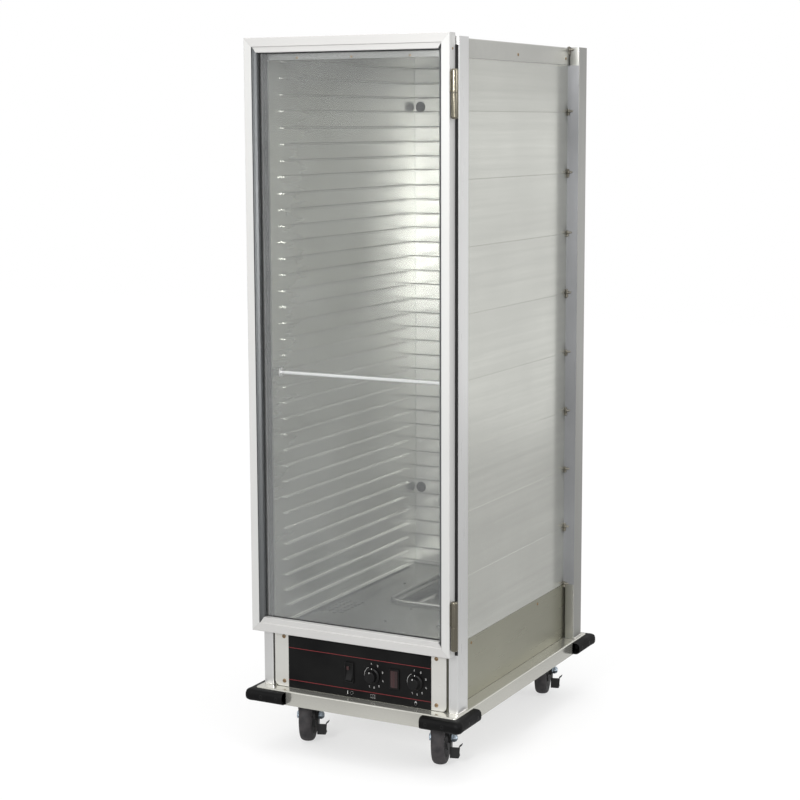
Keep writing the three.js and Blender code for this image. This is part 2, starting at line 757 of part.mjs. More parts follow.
function moduleTray() {
  const bottom = BASE_TOP + GAP;
  const front = SHEET + GAP;
  const outside = block(
    [-TRAY_HALF_WIDTH, TRAY_HALF_WIDTH],
    [front, TRAY_BACK],
    [bottom, bottom + TRAY_FLANGE],
  );
  const inside = block(
    [-TRAY_HALF_WIDTH + SHEET, TRAY_HALF_WIDTH - SHEET],
    [front + SHEET, TRAY_BACK - SHEET],
    [bottom + SHEET, bottom + TRAY_FLANGE + 1],
  );
  return cut(outside, inside);
}

// A hairpin rod that rises from the tray, runs back, turns and comes down again
function heatingElement() {
  const foot = BASE_TOP + GAP + SHEET + GAP;
  const legX = [-45, 95];
  const near = 300;
  const far = 500;
  const bend = 18;
  const radius = (legX[1] - legX[0]) / 2;
  const middle = (legX[0] + legX[1]) / 2;
  const path = new THREE.CurvePath();
  const point = (x, y, z) => new THREE.Vector3(x, y, z);
  const rise = (x) => [point(x, near, foot), point(x, near, ELEMENT_HEIGHT - bend)];
  const corner = (x) => [
    point(x, near, ELEMENT_HEIGHT - bend),
    point(x, near, ELEMENT_HEIGHT),
    point(x, near + bend, ELEMENT_HEIGHT),
  ];
  const run = (x) => [point(x, near + bend, ELEMENT_HEIGHT), point(x, far, ELEMENT_HEIGHT)];
  path.add(new THREE.LineCurve3(...rise(legX[0])));
  path.add(new THREE.QuadraticBezierCurve3(...corner(legX[0])));
  path.add(new THREE.LineCurve3(...run(legX[0])));
  path.add(new THREE.CubicBezierCurve3(
    point(legX[0], far, ELEMENT_HEIGHT),
    point(legX[0], far + radius * 1.33, ELEMENT_HEIGHT),
    point(legX[1], far + radius * 1.33, ELEMENT_HEIGHT),
    point(legX[1], far, ELEMENT_HEIGHT),
  ));
  path.add(new THREE.LineCurve3(...run(legX[1]).reverse()));
  path.add(new THREE.QuadraticBezierCurve3(...corner(legX[1]).reverse()));
  path.add(new THREE.LineCurve3(...rise(legX[1]).reverse()));
  const section = outline([...Array(8).keys()].map((side) => {
    const angle = (side * Math.PI) / 4;
    return [ELEMENT_RADIUS * Math.cos(angle), ELEMENT_RADIUS * Math.sin(angle)];
  }));
  return new THREE.ExtrudeGeometry(section, { steps: 40, extrudePath: path, bevelEnabled: false });
}

function fanMotor() {
  const foot = BASE_TOP + 2 * GAP + SHEET;
  return turn([
    [0, foot], [32, foot], [32, foot + 6], [28, foot + 8], [28, foot + 42], [20, foot + 48], [0, foot + 48],
  ], 24).translate(FAN_X, FAN_Y, 0);
}

function fanImpeller() {
  const bottom = 215;
  const hub = rod(12, [bottom, bottom + 26]);
  const blades = [];
  for (let blade = 0; blade < FAN_BLADES; blade += 1) {
    const geometry = new THREE.BoxGeometry(FAN_RADIUS - 9, 1.6, 24);
    geometry.rotateX(THREE.MathUtils.degToRad(35)).translate(FAN_RADIUS / 2 + 4.5, 0, bottom + 13);
    blades.push(geometry.rotateZ((blade * 2 * Math.PI) / FAN_BLADES));
  }
  return join(hub, ...blades).translate(FAN_X, FAN_Y, 0);
}

// A strain relief gland through the rear lower panel, for a supply lead
function powerInlet() {
  const profile = [
    [5, -22], [9, -22], [10.6, -14], [10.6, -GAP], [16, -GAP], [16, 5], [10.6, 5],
    [9, 18], [5, 18], [5, -22],
  ];
  return turn(profile, 20).rotateX(-Math.PI / 2).translate(INLET_X, WALL_BACK + 2 * GAP, INLET_Z);
}

function addModule() {
  addMesh('control_panel', controlPanel(), 'aluminium');
  addMesh('panel_label', panelLabel(), 'label');
  addMesh('switch_housing', switchHousing(), 'plastic');
  addMesh('power_rocker', powerRocker(), 'plastic');
  addMesh('heat_indicator', heatIndicator(), 'lens');
  addMesh('heat_knob', controlKnob(HEAT_KNOB_X), 'plastic');
  addMesh('humidity_knob', controlKnob(HUMIDITY_KNOB_X), 'plastic');
  addMesh('heat_thermostat', thermostat(HEAT_KNOB_X), 'plastic');
  addMesh('humidity_thermostat', thermostat(HUMIDITY_KNOB_X), 'plastic');
  addMesh('module_tray', moduleTray(), 'stainless');
  addMesh('heating_element', heatingElement(), 'darkSteel');
  addMesh('fan_motor', fanMotor(), 'darkSteel');
  addMesh('fan_impeller', fanImpeller(), 'stainless');
  addMesh('power_inlet', powerInlet(), 'plastic');
}

// Casters. Each is drawn about its kingpin, with its axle along X and its trail along +Y.

function casterPlate() {
  const [width, length, thickness] = CASTER_PLATE;
  const top = BASE_TOP - SHEET - GAP;
  const plate = block([-width / 2, width / 2], [-length / 2, length / 2], [top - thickness, top]);
  const kingpin = turn([[0, 138], [10, 138], [10, 141], [6, 141], [6, top - 1], [0, top - 1]], 16);
  return join(plate, kingpin);
}

function casterFork() {
  const capTop = BASE_TOP - SHEET - GAP - CASTER_PLATE[2] - 0.5;
  const cap = turn([
    [6.4, 142], [22, 142], [28, 146], [30, 150], [30, capTop], [6.4, capTop], [6.4, 142],
  ], 20);
  const pieces = [cap];
  for (const side of [-1, 1]) {
    const leg = new THREE.Shape();
    leg.moveTo(-20, 149);
    leg.lineTo(-20, 132);
    leg.lineTo(CASTER_TRAIL - 13, AXLE_HEIGHT);
    leg.absarc(CASTER_TRAIL, AXLE_HEIGHT, 13, Math.PI, 2 * Math.PI, false);
    leg.lineTo(CASTER_TRAIL + 12, 100);
    leg.lineTo(24, 149);
    const span = [side * FORK_INNER, side * (FORK_INNER + FORK_LEG)].sort((a, b) => a - b);
    pieces.push(extrudeAlongX(leg, span));
  }
  const legOuter = FORK_INNER + FORK_LEG;
  const nut = legOuter + 2 * GAP + 2.5;
  const axle = aimRight(rod(AXLE_RADIUS, [-legOuter - 5, nut + 12]));
  const head = aimRight(rod(9.5, [-legOuter - 6, -legOuter + 0.5], 6));
  const lockNut = aimRight(turn([[0, nut], [10, nut], [10, nut + 8], [7, nut + 11], [0, nut + 11]], 6));
  for (const piece of [axle, head, lockNut]) {
    pieces.push(piece.translate(0, CASTER_TRAIL, AXLE_HEIGHT));
  }
  return join(...pieces);
}

function casterWheel() {
  const half = WHEEL_WIDTH / 2;
  const bore = AXLE_RADIUS + GAP;
  const rightSide = [[14, half + 2], [15, half - 5], [43, half - 5], [45, half], [59, half - 1.5]];
  const profile = [
    [bore, -half - 2],
    ...rightSide.map(([radius, width]) => [radius, -width]),
    [WHEEL_RADIUS, -half + 9],
    [WHEEL_RADIUS, half - 9],
    ...rightSide.toReversed(),
    [bore, half + 2],
    [bore, -half - 2],
  ];
  const tyre = turn(profile, WHEEL_SIDES, Math.PI / WHEEL_SIDES);
  return aimRight(tyre).translate(0, CASTER_TRAIL, AXLE_HEIGHT);
}

// A stamped pedal that hangs on the axle outside the fork, with a foot tab that stands out from it
function brakePedal() {
  const inner = FORK_INNER + FORK_LEG + GAP;
  const outer = inner + 2.5;
  const tabEnd = outer + 22;
  const plate = new THREE.Shape();
  plate.absarc(0, 0, 12, 0, Math.PI, false);
  plate.lineTo(-18, -17);
  plate.lineTo(-16, -44);
  plate.lineTo(6, -44);
  plate.lineTo(12, -17);
  const hanger = extrudeAlongX(plate, [inner, outer]);
  const face = extrudeAlongY(
    outline([[inner, -17], [tabEnd, -17], [tabEnd - 3, -44], [inner, -44]]),
    [-18, -15.5],
  );
  const shelf = block([inner, tabEnd - 3], [-17, 4], [-44, -41.5]);
  const lip = extrudeAlongY(
    outline([[tabEnd - 2.5, -18], [tabEnd + 5, -11.5], [tabEnd + 4, -10], [tabEnd - 3.5, -16.5]]),
    [-18, -2],
  );
  const bore = aimRight(rod(AXLE_RADIUS + GAP, [inner - 5, outer + 5]));
  return cut(join(hanger, face, shelf, lip), bore).translate(0, CASTER_TRAIL, AXLE_HEIGHT);
}

function addCasters() {
  for (const [name, sideX, sideY] of corners()) {
    const station = new THREE.Group();
    station.position.set(sideX * KINGPIN_X, sideY > 0 ? KINGPIN_FRONT : KINGPIN_REAR, 0);
    cabinet.add(station);
    addMesh(`caster_plate_${name}`, casterPlate(), 'zinc', station);
    const swivel = new THREE.Group();
    swivel.rotation.z = THREE.MathUtils.degToRad(SWIVEL_ANGLES[name]);
    station.add(swivel);
    addMesh(`caster_fork_${name}`, casterFork(), 'darkSteel', swivel);
    addMesh(`caster_wheel_${name}`, casterWheel(), 'tread', swivel);
    addMesh(`brake_pedal_${name}`, brakePedal(), 'darkSteel', swivel);
  }
}

addBase();
addCabinet();
addDoor();
addModule();
addCasters();

const whole = new THREE.Group();
whole.add(cabinet);

export default whole;
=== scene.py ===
"""The looks of a mobile proofing cabinet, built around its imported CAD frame."""
import json
import math
import random

import bmesh
import bpy
from mathutils import Matrix, Vector


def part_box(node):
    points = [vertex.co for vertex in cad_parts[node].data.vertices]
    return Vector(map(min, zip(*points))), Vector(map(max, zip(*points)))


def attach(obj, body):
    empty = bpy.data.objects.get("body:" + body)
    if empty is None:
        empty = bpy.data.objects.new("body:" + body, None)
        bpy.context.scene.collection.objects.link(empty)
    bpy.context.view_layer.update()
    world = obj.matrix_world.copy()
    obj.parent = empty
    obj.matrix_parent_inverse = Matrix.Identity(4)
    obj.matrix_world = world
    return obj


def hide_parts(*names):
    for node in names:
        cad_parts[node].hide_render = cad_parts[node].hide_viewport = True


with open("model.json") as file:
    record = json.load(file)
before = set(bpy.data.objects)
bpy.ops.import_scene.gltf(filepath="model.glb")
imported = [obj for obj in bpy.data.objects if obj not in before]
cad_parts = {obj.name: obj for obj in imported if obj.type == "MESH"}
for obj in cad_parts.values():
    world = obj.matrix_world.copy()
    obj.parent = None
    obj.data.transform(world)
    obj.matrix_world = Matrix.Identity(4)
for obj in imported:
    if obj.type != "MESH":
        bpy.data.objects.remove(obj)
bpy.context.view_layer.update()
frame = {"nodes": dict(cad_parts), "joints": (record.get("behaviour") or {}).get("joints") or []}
random.seed(7)

CORNERS = ("front_left", "front_right", "rear_left", "rear_right")
JOINTS = {joint["name"]: joint for joint in frame["joints"]}
X, Y, Z = Vector((1, 0, 0)), Vector((0, 1, 0)), Vector((0, 0, 1))


# Camera, stage and light

def set_camera():
    """The view is three quarters from the front right, a little above the middle of the cabinet."""
    data = bpy.data.cameras.new("camera")
    data.lens = 80.99
    data.sensor_width = 36
    data.shift_x = -0.01308
    data.shift_y = -0.02735
    camera = bpy.data.objects.new("camera", data)
    bpy.context.collection.objects.link(camera)
    yaw, pitch, roll = (math.radians(angle) for angle in (27.58, 7.98, -0.16))
    forward = Vector((-math.sin(yaw) * math.cos(pitch), math.cos(yaw) * math.cos(pitch), -math.sin(pitch)))
    right = Vector((math.cos(yaw), math.sin(yaw), 0))
    up = right.cross(forward)
    side = right * math.cos(roll) + up * math.sin(roll)
    top = up * math.cos(roll) - right * math.sin(roll)
    turn = Matrix((side, top, -forward)).transposed().to_4x4()
    camera.matrix_world = Matrix.Translation((1.9992, -3.9253, 1.4917)) @ turn
    bpy.context.scene.camera = camera


def area_light(name, place, target, size, power):
    data = bpy.data.lights.new(name, "AREA")
    data.shape = "RECTANGLE"
    data.size, data.size_y = size
    data.energy = power
    light = bpy.data.objects.new(name, data)
    bpy.context.collection.objects.link(light)
    aim = (Vector(target) - Vector(place)).to_track_quat("-Z", "Y")
    light.matrix_world = Matrix.Translation(place) @ aim.to_matrix().to_4x4()


def set_stage():
    scene = bpy.context.scene
    scene.view_settings.view_transform = "Standard"
    scene.world = bpy.data.worlds.new("studio")
    light_world(scene.world)
    bm = bmesh.new()
    bmesh.ops.create_grid(bm, x_segments=1, y_segments=1, size=9)
    mesh = bpy.data.meshes.new("floor")
    bm.to_mesh(mesh)
    bm.free()
    floor = bpy.data.objects.new("floor", mesh)
    bpy.context.collection.objects.link(floor)
    mesh.materials.append(floor_paper())
    area_light("key", (-2.4, -4.3, 1.4), (0, 0, 1.1), (1.6, 2.2), 9)
    area_light("flash", (2.2, -4.4, 0.9), (-0.1, 0.3, 1.15), (0.7, 1.0), 24)
    area_light("front", (0.2, -4.9, 2.2), (0, 0.3, 1.2), (0.9, 0.9), 105)
    area_light("side_card", (2.2, 3.9, 0.8), (0.2, 0, 0.9), (3.0, 1.6), 5)
    area_light("fill", (4.6, -0.4, 2.6), (0, 0, 1.2), (2.0, 2.2), 55)
    area_light("overhead", (0.2, -0.4, 3.9), (0, 0, 0), (3.0, 3.0), 35)


def light_world(world):
    """White to the camera, and otherwise a soft grey that brightens from the floor to the ceiling."""
    world.use_nodes = True
    tree = world.node_tree
    tree.nodes.clear()
    output = add_node(tree, "OutputWorld")
    seen = add_node(tree, "Background")
    seen.inputs["Color"].default_value = (1, 1, 1, 1)
    around = add_node(tree, "Background")
    around.inputs["Strength"].default_value = 0.85
    coordinates = add_node(tree, "TexCoord")
    split = add_node(tree, "SeparateXYZ")
    ramp = add_node(tree, "ValToRGB")
    for position, value in ((0.0, 0.3), (0.46, 0.55), (0.55, 0.8), (0.7, 0.95), (1.0, 1.1)):
        stop = ramp.color_ramp.elements.new(position)
        stop.color = (value, value, value, 1)
    ramp.color_ramp.elements.remove(ramp.color_ramp.elements[0])
    half = add_node(tree, "Math", operation="MULTIPLY_ADD")
    half.inputs[1].default_value = 0.5
    half.inputs[2].default_value = 0.5
    paths = add_node(tree, "LightPath")
    mix = add_node(tree, "MixShader")
    for source, target in (
        (coordinates.outputs["Generated"], split.inputs[0]),
        (split.outputs["Z"], half.inputs[0]),
        (half.outputs[0], ramp.inputs[0]),
        (ramp.outputs[0], around.inputs["Color"]),
        (paths.outputs["Is Camera Ray"], mix.inputs[0]),
        (around.outputs[0], mix.inputs[1]),
        (seen.outputs[0], mix.inputs[2]),
        (mix.outputs[0], output.inputs[0]),
    ):
        tree.links.new(source, target)


# Materials

def srgb(*levels):
    """A colour's linear values from its levels of 0 to 255."""
    shares = (level / 255 for level in levels)
    return tuple(share / 12.92 if share < 0.0431 else ((share + 0.055) / 1.055) ** 2.4 for share in shares)


def add_node(tree, kind, **settings):
    node = tree.nodes.new(f"ShaderNode{kind}")
    for setting, value in settings.items():
        setattr(node, setting, value)
    return node


def shader(name, colour, roughness, metallic=0.0, **sockets):
    material = bpy.data.materials.new(name)
    material.use_nodes = True
    bsdf = material.node_tree.nodes["Principled BSDF"]
    bsdf.inputs["Base Color"].default_value = (*colour, 1)
    bsdf.inputs["Roughness"].default_value = roughness
    bsdf.inputs["Metallic"].default_value = metallic
    for socket, value in sockets.items():
        bsdf.inputs[socket.replace("_", " ")].default_value = value
    return material, bsdf


def pattern(material, scale, stretch=(1, 1, 1), detail=3.0):
    """A noise value over the object's own coordinates, stretched along its axes."""
    tree = material.node_tree
    coordinates = add_node(tree, "TexCoord")
    mapping = add_node(tree, "Mapping")
    mapping.inputs["Scale"].default_value = stretch
    noise = add_node(tree, "TexNoise")
    noise.inputs["Scale"].default_value = scale
    noise.inputs["Detail"].default_value = detail
    tree.links.new(coordinates.outputs["Object"], mapping.inputs[0])
    tree.links.new(mapping.outputs[0], noise.inputs["Vector"])
    return noise.outputs["Fac"]


def spread(material, value, low, high, source=(0.3, 0.7)):
    node = add_node(material.node_tree, "MapRange")
    node.inputs["From Min"].default_value, node.inputs["From Max"].default_value = source
    node.inputs["To Min"].default_value, node.inputs["To Max"].default_value = low, high
    material.node_tree.links.new(value, node.inputs["Value"])
    return node.outputs[0]


def blend_colours(material, factor, first, second):
    """A colour between two, each a fixed colour or another node's output."""
    node = add_node(material.node_tree, "Mix", data_type="RGBA")
    material.node_tree.links.new(factor, node.inputs["Factor"])
    for socket, colour in (("A", first), ("B", second)):
        target = next(s for s in node.inputs if s.name == socket and s.type == "RGBA")
        if isinstance(colour, tuple):
            target.default_value = (*colour, 1)
        else:
            material.node_tree.links.new(colour, target)
    return next(s for s in node.outputs if s.type == "RGBA")


def tint(material, bsdf, factor, first, second):
    """Colours the surface between two colours and returns the blend."""
    blend = blend_colours(material, factor, first, second)
    material.node_tree.links.new(blend, bsdf.inputs["Base Color"])
    return blend


def relief(material, bsdf, *layers):
    """Bump from (height, strength, distance) layers, one over the other."""
    tree = material.node_tree
    normal = None
    for height, strength, distance in layers:
        bump = add_node(tree, "Bump")
        bump.inputs["Strength"].default_value = strength
        bump.inputs["Distance"].default_value = distance
        tree.links.new(height, bump.inputs["Height"])
        if normal:
            tree.links.new(normal, bump.inputs["Normal"])
        normal = bump.outputs[0]
    tree.links.new(normal, bsdf.inputs["Normal"])


def floor_paper():
    """White paper that catches a soft shadow near the cabinet and fades to pure white around it."""
    material, bsdf = shader("floor_paper", srgb(250, 250, 250), 0.9)
    tree = material.node_tree
    relief(material, bsdf, (pattern(material, 700), 0.1, 0.0003))
    coordinates = add_node(tree, "TexCoord")
    length = add_node(tree, "VectorMath", operation="LENGTH")
    white = add_node(tree, "Emission")
    white.inputs["Color"].default_value = (1, 1, 1, 1)
    mix = add_node(tree, "MixShader")
    camera_ray = add_node(tree, "LightPath").outputs["Is Camera Ray"]
    tree.links.new(coordinates.outputs["Object"], length.inputs[0])
    for source, target in (
        (spread(material, camera_ray, 0.5, 1.02, (0, 1)), white.inputs["Strength"]),
        (spread(material, length.outputs["Value"], 0.55, 1.0, (0.3, 1.15)), mix.inputs[0]),
        (bsdf.outputs[0], mix.inputs[1]),
        (white.outputs[0], mix.inputs[2]),
        (mix.outputs[0], tree.nodes["Material Output"].inputs["Surface"]),
    ):
        tree.links.new(source, target)
    return material


def scaled(colour, factor):
    return tuple(min(1.0, level * factor) for level in colour)


GRAIN = {"X": (0.02, 1, 1), "Y": (1, 0.02, 1), "Z": (1, 1, 0.02)}


def metal_nodes(name, levels, roughness, along, metallic, streak, blotch, bump):
    """Extruded or rolled metal: fine lines along one axis over soft cloudy patches."""
    colour = srgb(*levels)
    material, bsdf = shader(name, colour, roughness, metallic)
    lines = pattern(material, 420, GRAIN[along], 4)
    broad = pattern(material, 60, GRAIN[along], 3)
    clouds = pattern(material, 3.5, detail=5)
    cloudy = blend_colours(
        material, spread(material, clouds, 0, 1), scaled(colour, 1 - blotch), scaled(colour, 1 + blotch),
    )
    lined = tint(material, bsdf, spread(material, broad, 0, streak * 4), cloudy, scaled(colour, 0.82))
    material.node_tree.links.new(
        spread(material, lines, roughness - 0.03, roughness + 0.04), bsdf.inputs["Roughness"],
    )
    relief(material, bsdf, (lines, bump, 0.00008))
    return material, bsdf, lined


def metal(*settings):
    return metal_nodes(*settings)[0]


def wall_metal():
    """Mill-finish planks, browned by welding where each joint meets the rear post."""
    material, bsdf, lined = metal_nodes("wall_aluminium", (212, 213, 206), 0.2, "Y", 0.72, 0.11, 0.06, 0.016)
    tree = material.node_tree
    coordinates = add_node(tree, "TexCoord")
    split = add_node(tree, "SeparateXYZ")
    tree.links.new(coordinates.outputs["Object"], split.inputs[0])

    def maths(operation, first, second=None):
        node = add_node(tree, "Math", operation=operation)
        for socket, value in zip(node.inputs, (first, second)):
            if isinstance(value, float):
                socket.default_value = value
            elif value is not None:
                tree.links.new(value, socket)
        return node.outputs[0]

    steps = maths("DIVIDE", maths("SUBTRACT", split.outputs["Z"], wall_low.z), PLANK)
    off = maths("ABSOLUTE", maths("SUBTRACT", steps, maths("ROUND", steps)))
    near_joint = spread(material, off, 1.0, 0.0, (0.03, 0.2))
    near_post = spread(material, split.outputs["Y"], 0.0, 1.0, (REAR_POST_FRONT - 0.03, REAR_POST_FRONT))
    uneven = spread(material, pattern(material, 40, detail=4), 0.2, 1.0)
    outside = maths("GREATER_THAN", maths("ABSOLUTE", split.outputs["X"]), SKIRT_OUTER - 0.001)
    scorch = maths("MULTIPLY", maths("MULTIPLY", near_joint, near_post), maths("MULTIPLY", uneven, outside))
    tint(material, bsdf, scorch, lined, srgb(74, 70, 62))
    return material


def painted_black(name, level, roughness, grain=900, shine=0.3):
    """Moulded or painted black with a fine pebbled skin and dusty patches."""
    material, bsdf = shader(name, srgb(level, level, level + 2), roughness, Specular_IOR_Level=shine)
    fine = pattern(material, grain, detail=2)
    dust = pattern(material, 18, detail=6)
    dusty = level + 14
    dusted = spread(material, dust, 0, 0.5)
    tint(material, bsdf, dusted, srgb(level, level, level + 1), srgb(dusty, dusty, dusty - 1))
    material.node_tree.links.new(
        spread(material, dust, roughness - 0.08, roughness + 0.12), bsdf.inputs["Roughness"],
    )
    relief(material, bsdf, (fine, 0.25, 0.0003))
    return material


def tread_rubber():
    material, bsdf = shader("tread_rubber", srgb(58, 56, 58), 0.6, Specular_IOR_Level=0.3)
    mottle = pattern(material, 55, detail=6)
    fine = pattern(material, 1400, detail=2)
    tint(material, bsdf, spread(material, mottle, 0, 1), srgb(42, 41, 43), srgb(68, 65, 66))
    material.node_tree.links.new(spread(material, mottle, 0.48, 0.72), bsdf.inputs["Roughness"])
    relief(material, bsdf, (fine, 0.2, 0.0002), (mottle, 0.2, 0.0005))
    return material


def clear_pane():
    """Polycarbonate: clear face on, brighter with reflections at a glancing angle."""
    material, bsdf = shader("polycarbonate", srgb(246, 248, 248), 0.04, Specular_IOR_Level=0.6)
    tree = material.node_tree
    fresnel = add_node(tree, "Fresnel")
    fresnel.inputs["IOR"].default_value = 1.58
    haze = spread(material, pattern(material, 9, detail=5), 0.0, 0.02)
    total = add_node(tree, "Math", operation="ADD")
    tree.links.new(fresnel.outputs[0], total.inputs[0])
    tree.links.new(haze, total.inputs[1])
    tree.links.new(total.outputs[0], bsdf.inputs["Alpha"])
    tree.links.new(spread(material, pattern(material, 140, detail=3), 0.02, 0.07), bsdf.inputs["Roughness"])
    return material


def red_lens():
    material, bsdf = shader("red_lens", srgb(70, 12, 14), 0.18, Coat_Weight=0.6)
    ribs = pattern(material, 500, (1, 0.02, 0.02), 1)
    relief(material, bsdf, (ribs, 0.4, 0.0004))
    tint(material, bsdf, spread(material, ribs, 0, 1), srgb(26, 6, 7), srgb(52, 10, 12))
    return material


def ink(name, levels, worn_levels, fresh_levels):
    """Printed ink, a little worn."""
    material, bsdf = shader(name, srgb(*levels), 0.5)
    worn = spread(material, pattern(material, 600, detail=4), 0, 1)
    tint(material, bsdf, worn, srgb(*worn_levels), srgb(*fresh_levels))
    return material


# Mesh building

def finish_piece(name, bm, material, body, cad=(), bevel=0.0, angle=32):
    """Makes the mesh an object with rounded edges, which rides on a body and may replace CAD nodes."""
    bmesh.ops.recalc_face_normals(bm, faces=bm.faces)
    mesh = bpy.data.meshes.new(name)
    bm.to_mesh(mesh)
    bm.free()
    mesh.shade_smooth()
    mesh.set_sharp_from_angle(angle=math.radians(angle))
    piece = bpy.data.objects.new(name, mesh)
    bpy.context.collection.objects.link(piece)
    mesh.materials.append(material)
    if bevel:
        edge = piece.modifiers.new("edge", "BEVEL")
        edge.width = bevel
        edge.segments = 2
        edge.limit_method = "ANGLE"
        edge.angle_limit = math.radians(angle)
        edge.harden_normals = True
    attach(piece, body)
    if cad:
        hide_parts(*cad)
    return piece


def coat_faces(piece, material, direction, least=0.25):
    """Gives the faces that look along a direction a second material."""
    piece.data.materials.append(material)
    for face in piece.data.polygons:
        if face.normal.dot(direction) > least:
            face.material_index = 1


def join_rings(bm, rings, closed=False):
    """Faces from each ring to the next, all of equal length. closed joins the last to the first too."""
    for lower, upper in zip(rings, rings[1:] + (rings[:1] if closed else [])):
        for index in range(len(lower)):
            after = (index + 1) % len(lower)
            bm.faces.new((lower[index], lower[after], upper[after], upper[index]))


def add_loft(bm, loops):
    """Joins loops of equal length, one after the other, and closes the ends."""
    rings = [[bm.verts.new(point) for point in loop] for loop in loops]
    join_rings(bm, rings)
    bm.faces.new(list(reversed(rings[0])))
    bm.faces.new(rings[-1])


# A point at t along an axis. The two other values are taken in X, Y, Z order.
PLACES = {"X": lambda a, b, t: (t, a, b), "Y": lambda a, b, t: (a, t, b), "Z": lambda a, b, t: (a, b, t)}


def add_prism(bm, outline, axis, start, end):
    add_loft(bm, [[PLACES[axis](a, b, t) for a, b in outline] for t in (start, end)])


def add_box(bm, low, high):
    (x0, y0, z0), (x1, y1, z1) = low, high
    add_prism(bm, [(x0, y0), (x1, y0), (x1, y1), (x0, y1)], "Z", z0, z1)


def basis(axis):
    """Two unit vectors square to the axis and to each other."""
    axis = Vector(axis).normalized()
    across = axis.cross(Z if abs(axis.z) < 0.9 else Y).normalized()
    return axis, across, axis.cross(across)


def add_lathe(bm, profile, origin, axis=Z, sides=32, shape=None):
    """A profile of (radius, height) turned about an axis. shape(angle, radius, height) may move a point."""
    axis, across, other = basis(axis)
    rings = []
    for radius, height in profile:
        if radius < 1e-7:
            rings.append([bm.verts.new(Vector(origin) + axis * height)])
            continue
        ring = []
        for index in range(sides):
            angle = 2 * math.pi * index / sides
            r, h = shape(angle, radius, height) if shape else (radius, height)
            out = across * math.cos(angle) + other * math.sin(angle)
            ring.append(bm.verts.new(Vector(origin) + axis * h + out * r))
        rings.append(ring)
    for lower, upper in zip(rings, rings[1:]):
        if len(lower) == len(upper):
            if len(lower) > 1:
                join_rings(bm, [lower, upper])
            continue
        for index in range(sides):
            after = (index + 1) % sides
            if len(lower) == 1:
                bm.faces.new((lower[0], upper[after], upper[index]))
            else:
                bm.faces.new((lower[index], lower[after], upper[0]))


def add_tube(bm, points, radii, sides):
    """A round rod along points, with a radius for each."""
    loops = []
    previous = None
    for index, (point, radius) in enumerate(zip(points, radii)):
        before, after = points[max(index - 1, 0)], points[min(index + 1, len(points) - 1)]
        tangent = (after - before).normalized()
        if previous is None:
            _, across, _ = basis(tangent)
        else:
            across = (previous - tangent * previous.dot(tangent)).normalized()
        previous = across
        other = tangent.cross(across)
        turns = [2 * math.pi * number / sides for number in range(sides)]
        loops.append([point + (across * math.cos(turn) + other * math.sin(turn)) * radius for turn in turns])
    add_loft(bm, loops)


def arc(centre, radius, start, end, steps):
    """Points on an arc, with angles in degrees."""
    for step in range(steps + 1):
        angle = math.radians(start + (end - start) * step / steps)
        yield centre[0] + radius * math.cos(angle), centre[1] + radius * math.sin(angle)


def rounded_rectangle(low, high, radius, steps=5):
    (x0, y0), (x1, y1) = low, high
    corners = (
        (x1 - radius, y0 + radius, -90), (x1 - radius, y1 - radius, 0),
        (x0 + radius, y1 - radius, 90), (x0 + radius, y0 + radius, 180),
    )
    return [point for x, y, start in corners for point in arc((x, y), radius, start, start + 90, steps)]


def inset_loop(low, high, inset, at, radius, axis="Z", steps=4):
    """A rounded rectangle inside a box's outline as seen along an axis, at a place on that axis."""
    y0, y1 = (low.y, high.y) if axis == "Z" else (low.z, high.z)
    points = rounded_rectangle((low.x + inset, y0 + inset), (high.x - inset, y1 - inset), radius, steps)
    return [PLACES[axis](a, b, at) for a, b in points]


def add_screw(bm, place, axis, radius, height, sides=24):
    """A pan-head screw with a cross recess."""
    def recess(angle, r, h):
        crossed = abs(math.sin(2 * angle)) < 0.5
        deep = r < radius * 0.5 and crossed
        return r, (h - height * 0.45 if deep else h)

    sunk = -0.0004
    shares = ((1, 0.35), (0.86, 0.8), (0.6, 1), (0.46, 1), (0.18, 1), (0, 0.62))
    profile = [(0, sunk), (radius * 1.04, sunk)] + [(radius * a, height * b) for a, b in shares]
    add_lathe(bm, profile, place, axis, sides, recess)


def weld_line(bm, start, end, radius):
    """A rippled bead between two points, a little uneven."""
    ripple = 0.0032
    start, end = Vector(start), Vector(end)
    steps = max(6, int((end - start).length / (ripple / 4)))
    radii = []
    for step in range(steps + 1):
        swell = 1 + 0.16 * math.cos(2 * math.pi * step / 4) + random.uniform(-0.07, 0.07)
        taper = min(1.0, 0.45 + 6 * min(step, steps - step) / steps)
        radii.append(radius * swell * taper)
    add_tube(bm, [start.lerp(end, step / steps) for step in range(steps + 1)], radii, 10)


# Sizes read from the frame

base_low, base_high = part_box("base_pan")
post_low, post_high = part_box("post_front_right")
rear_low, rear_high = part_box("post_rear_right")
wall_low, wall_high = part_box("side_wall_right")
deck_low, deck_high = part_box("floor_deck")
PLANKS = 9
LEDGES = 4
PLANK = (wall_high.z - wall_low.z) / PLANKS
REAR_POST_FRONT = rear_low.y
FRONT = post_low.y
SKIRT_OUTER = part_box("side_skirt_right")[1].x
LEDGE_END = REAR_POST_FRONT - 0.0032
top_low, top_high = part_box("top_pan")
TOP_FLANGE_BOTTOM = top_low.z
# Width of the black strip that paints the shade in the gap between door and post, on the hinge side.
HINGE_GAP_SHADE = 0.0192
stile_low, stile_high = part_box("door_stile_left")
DOOR_DEPTH = stile_high.y - stile_low.y

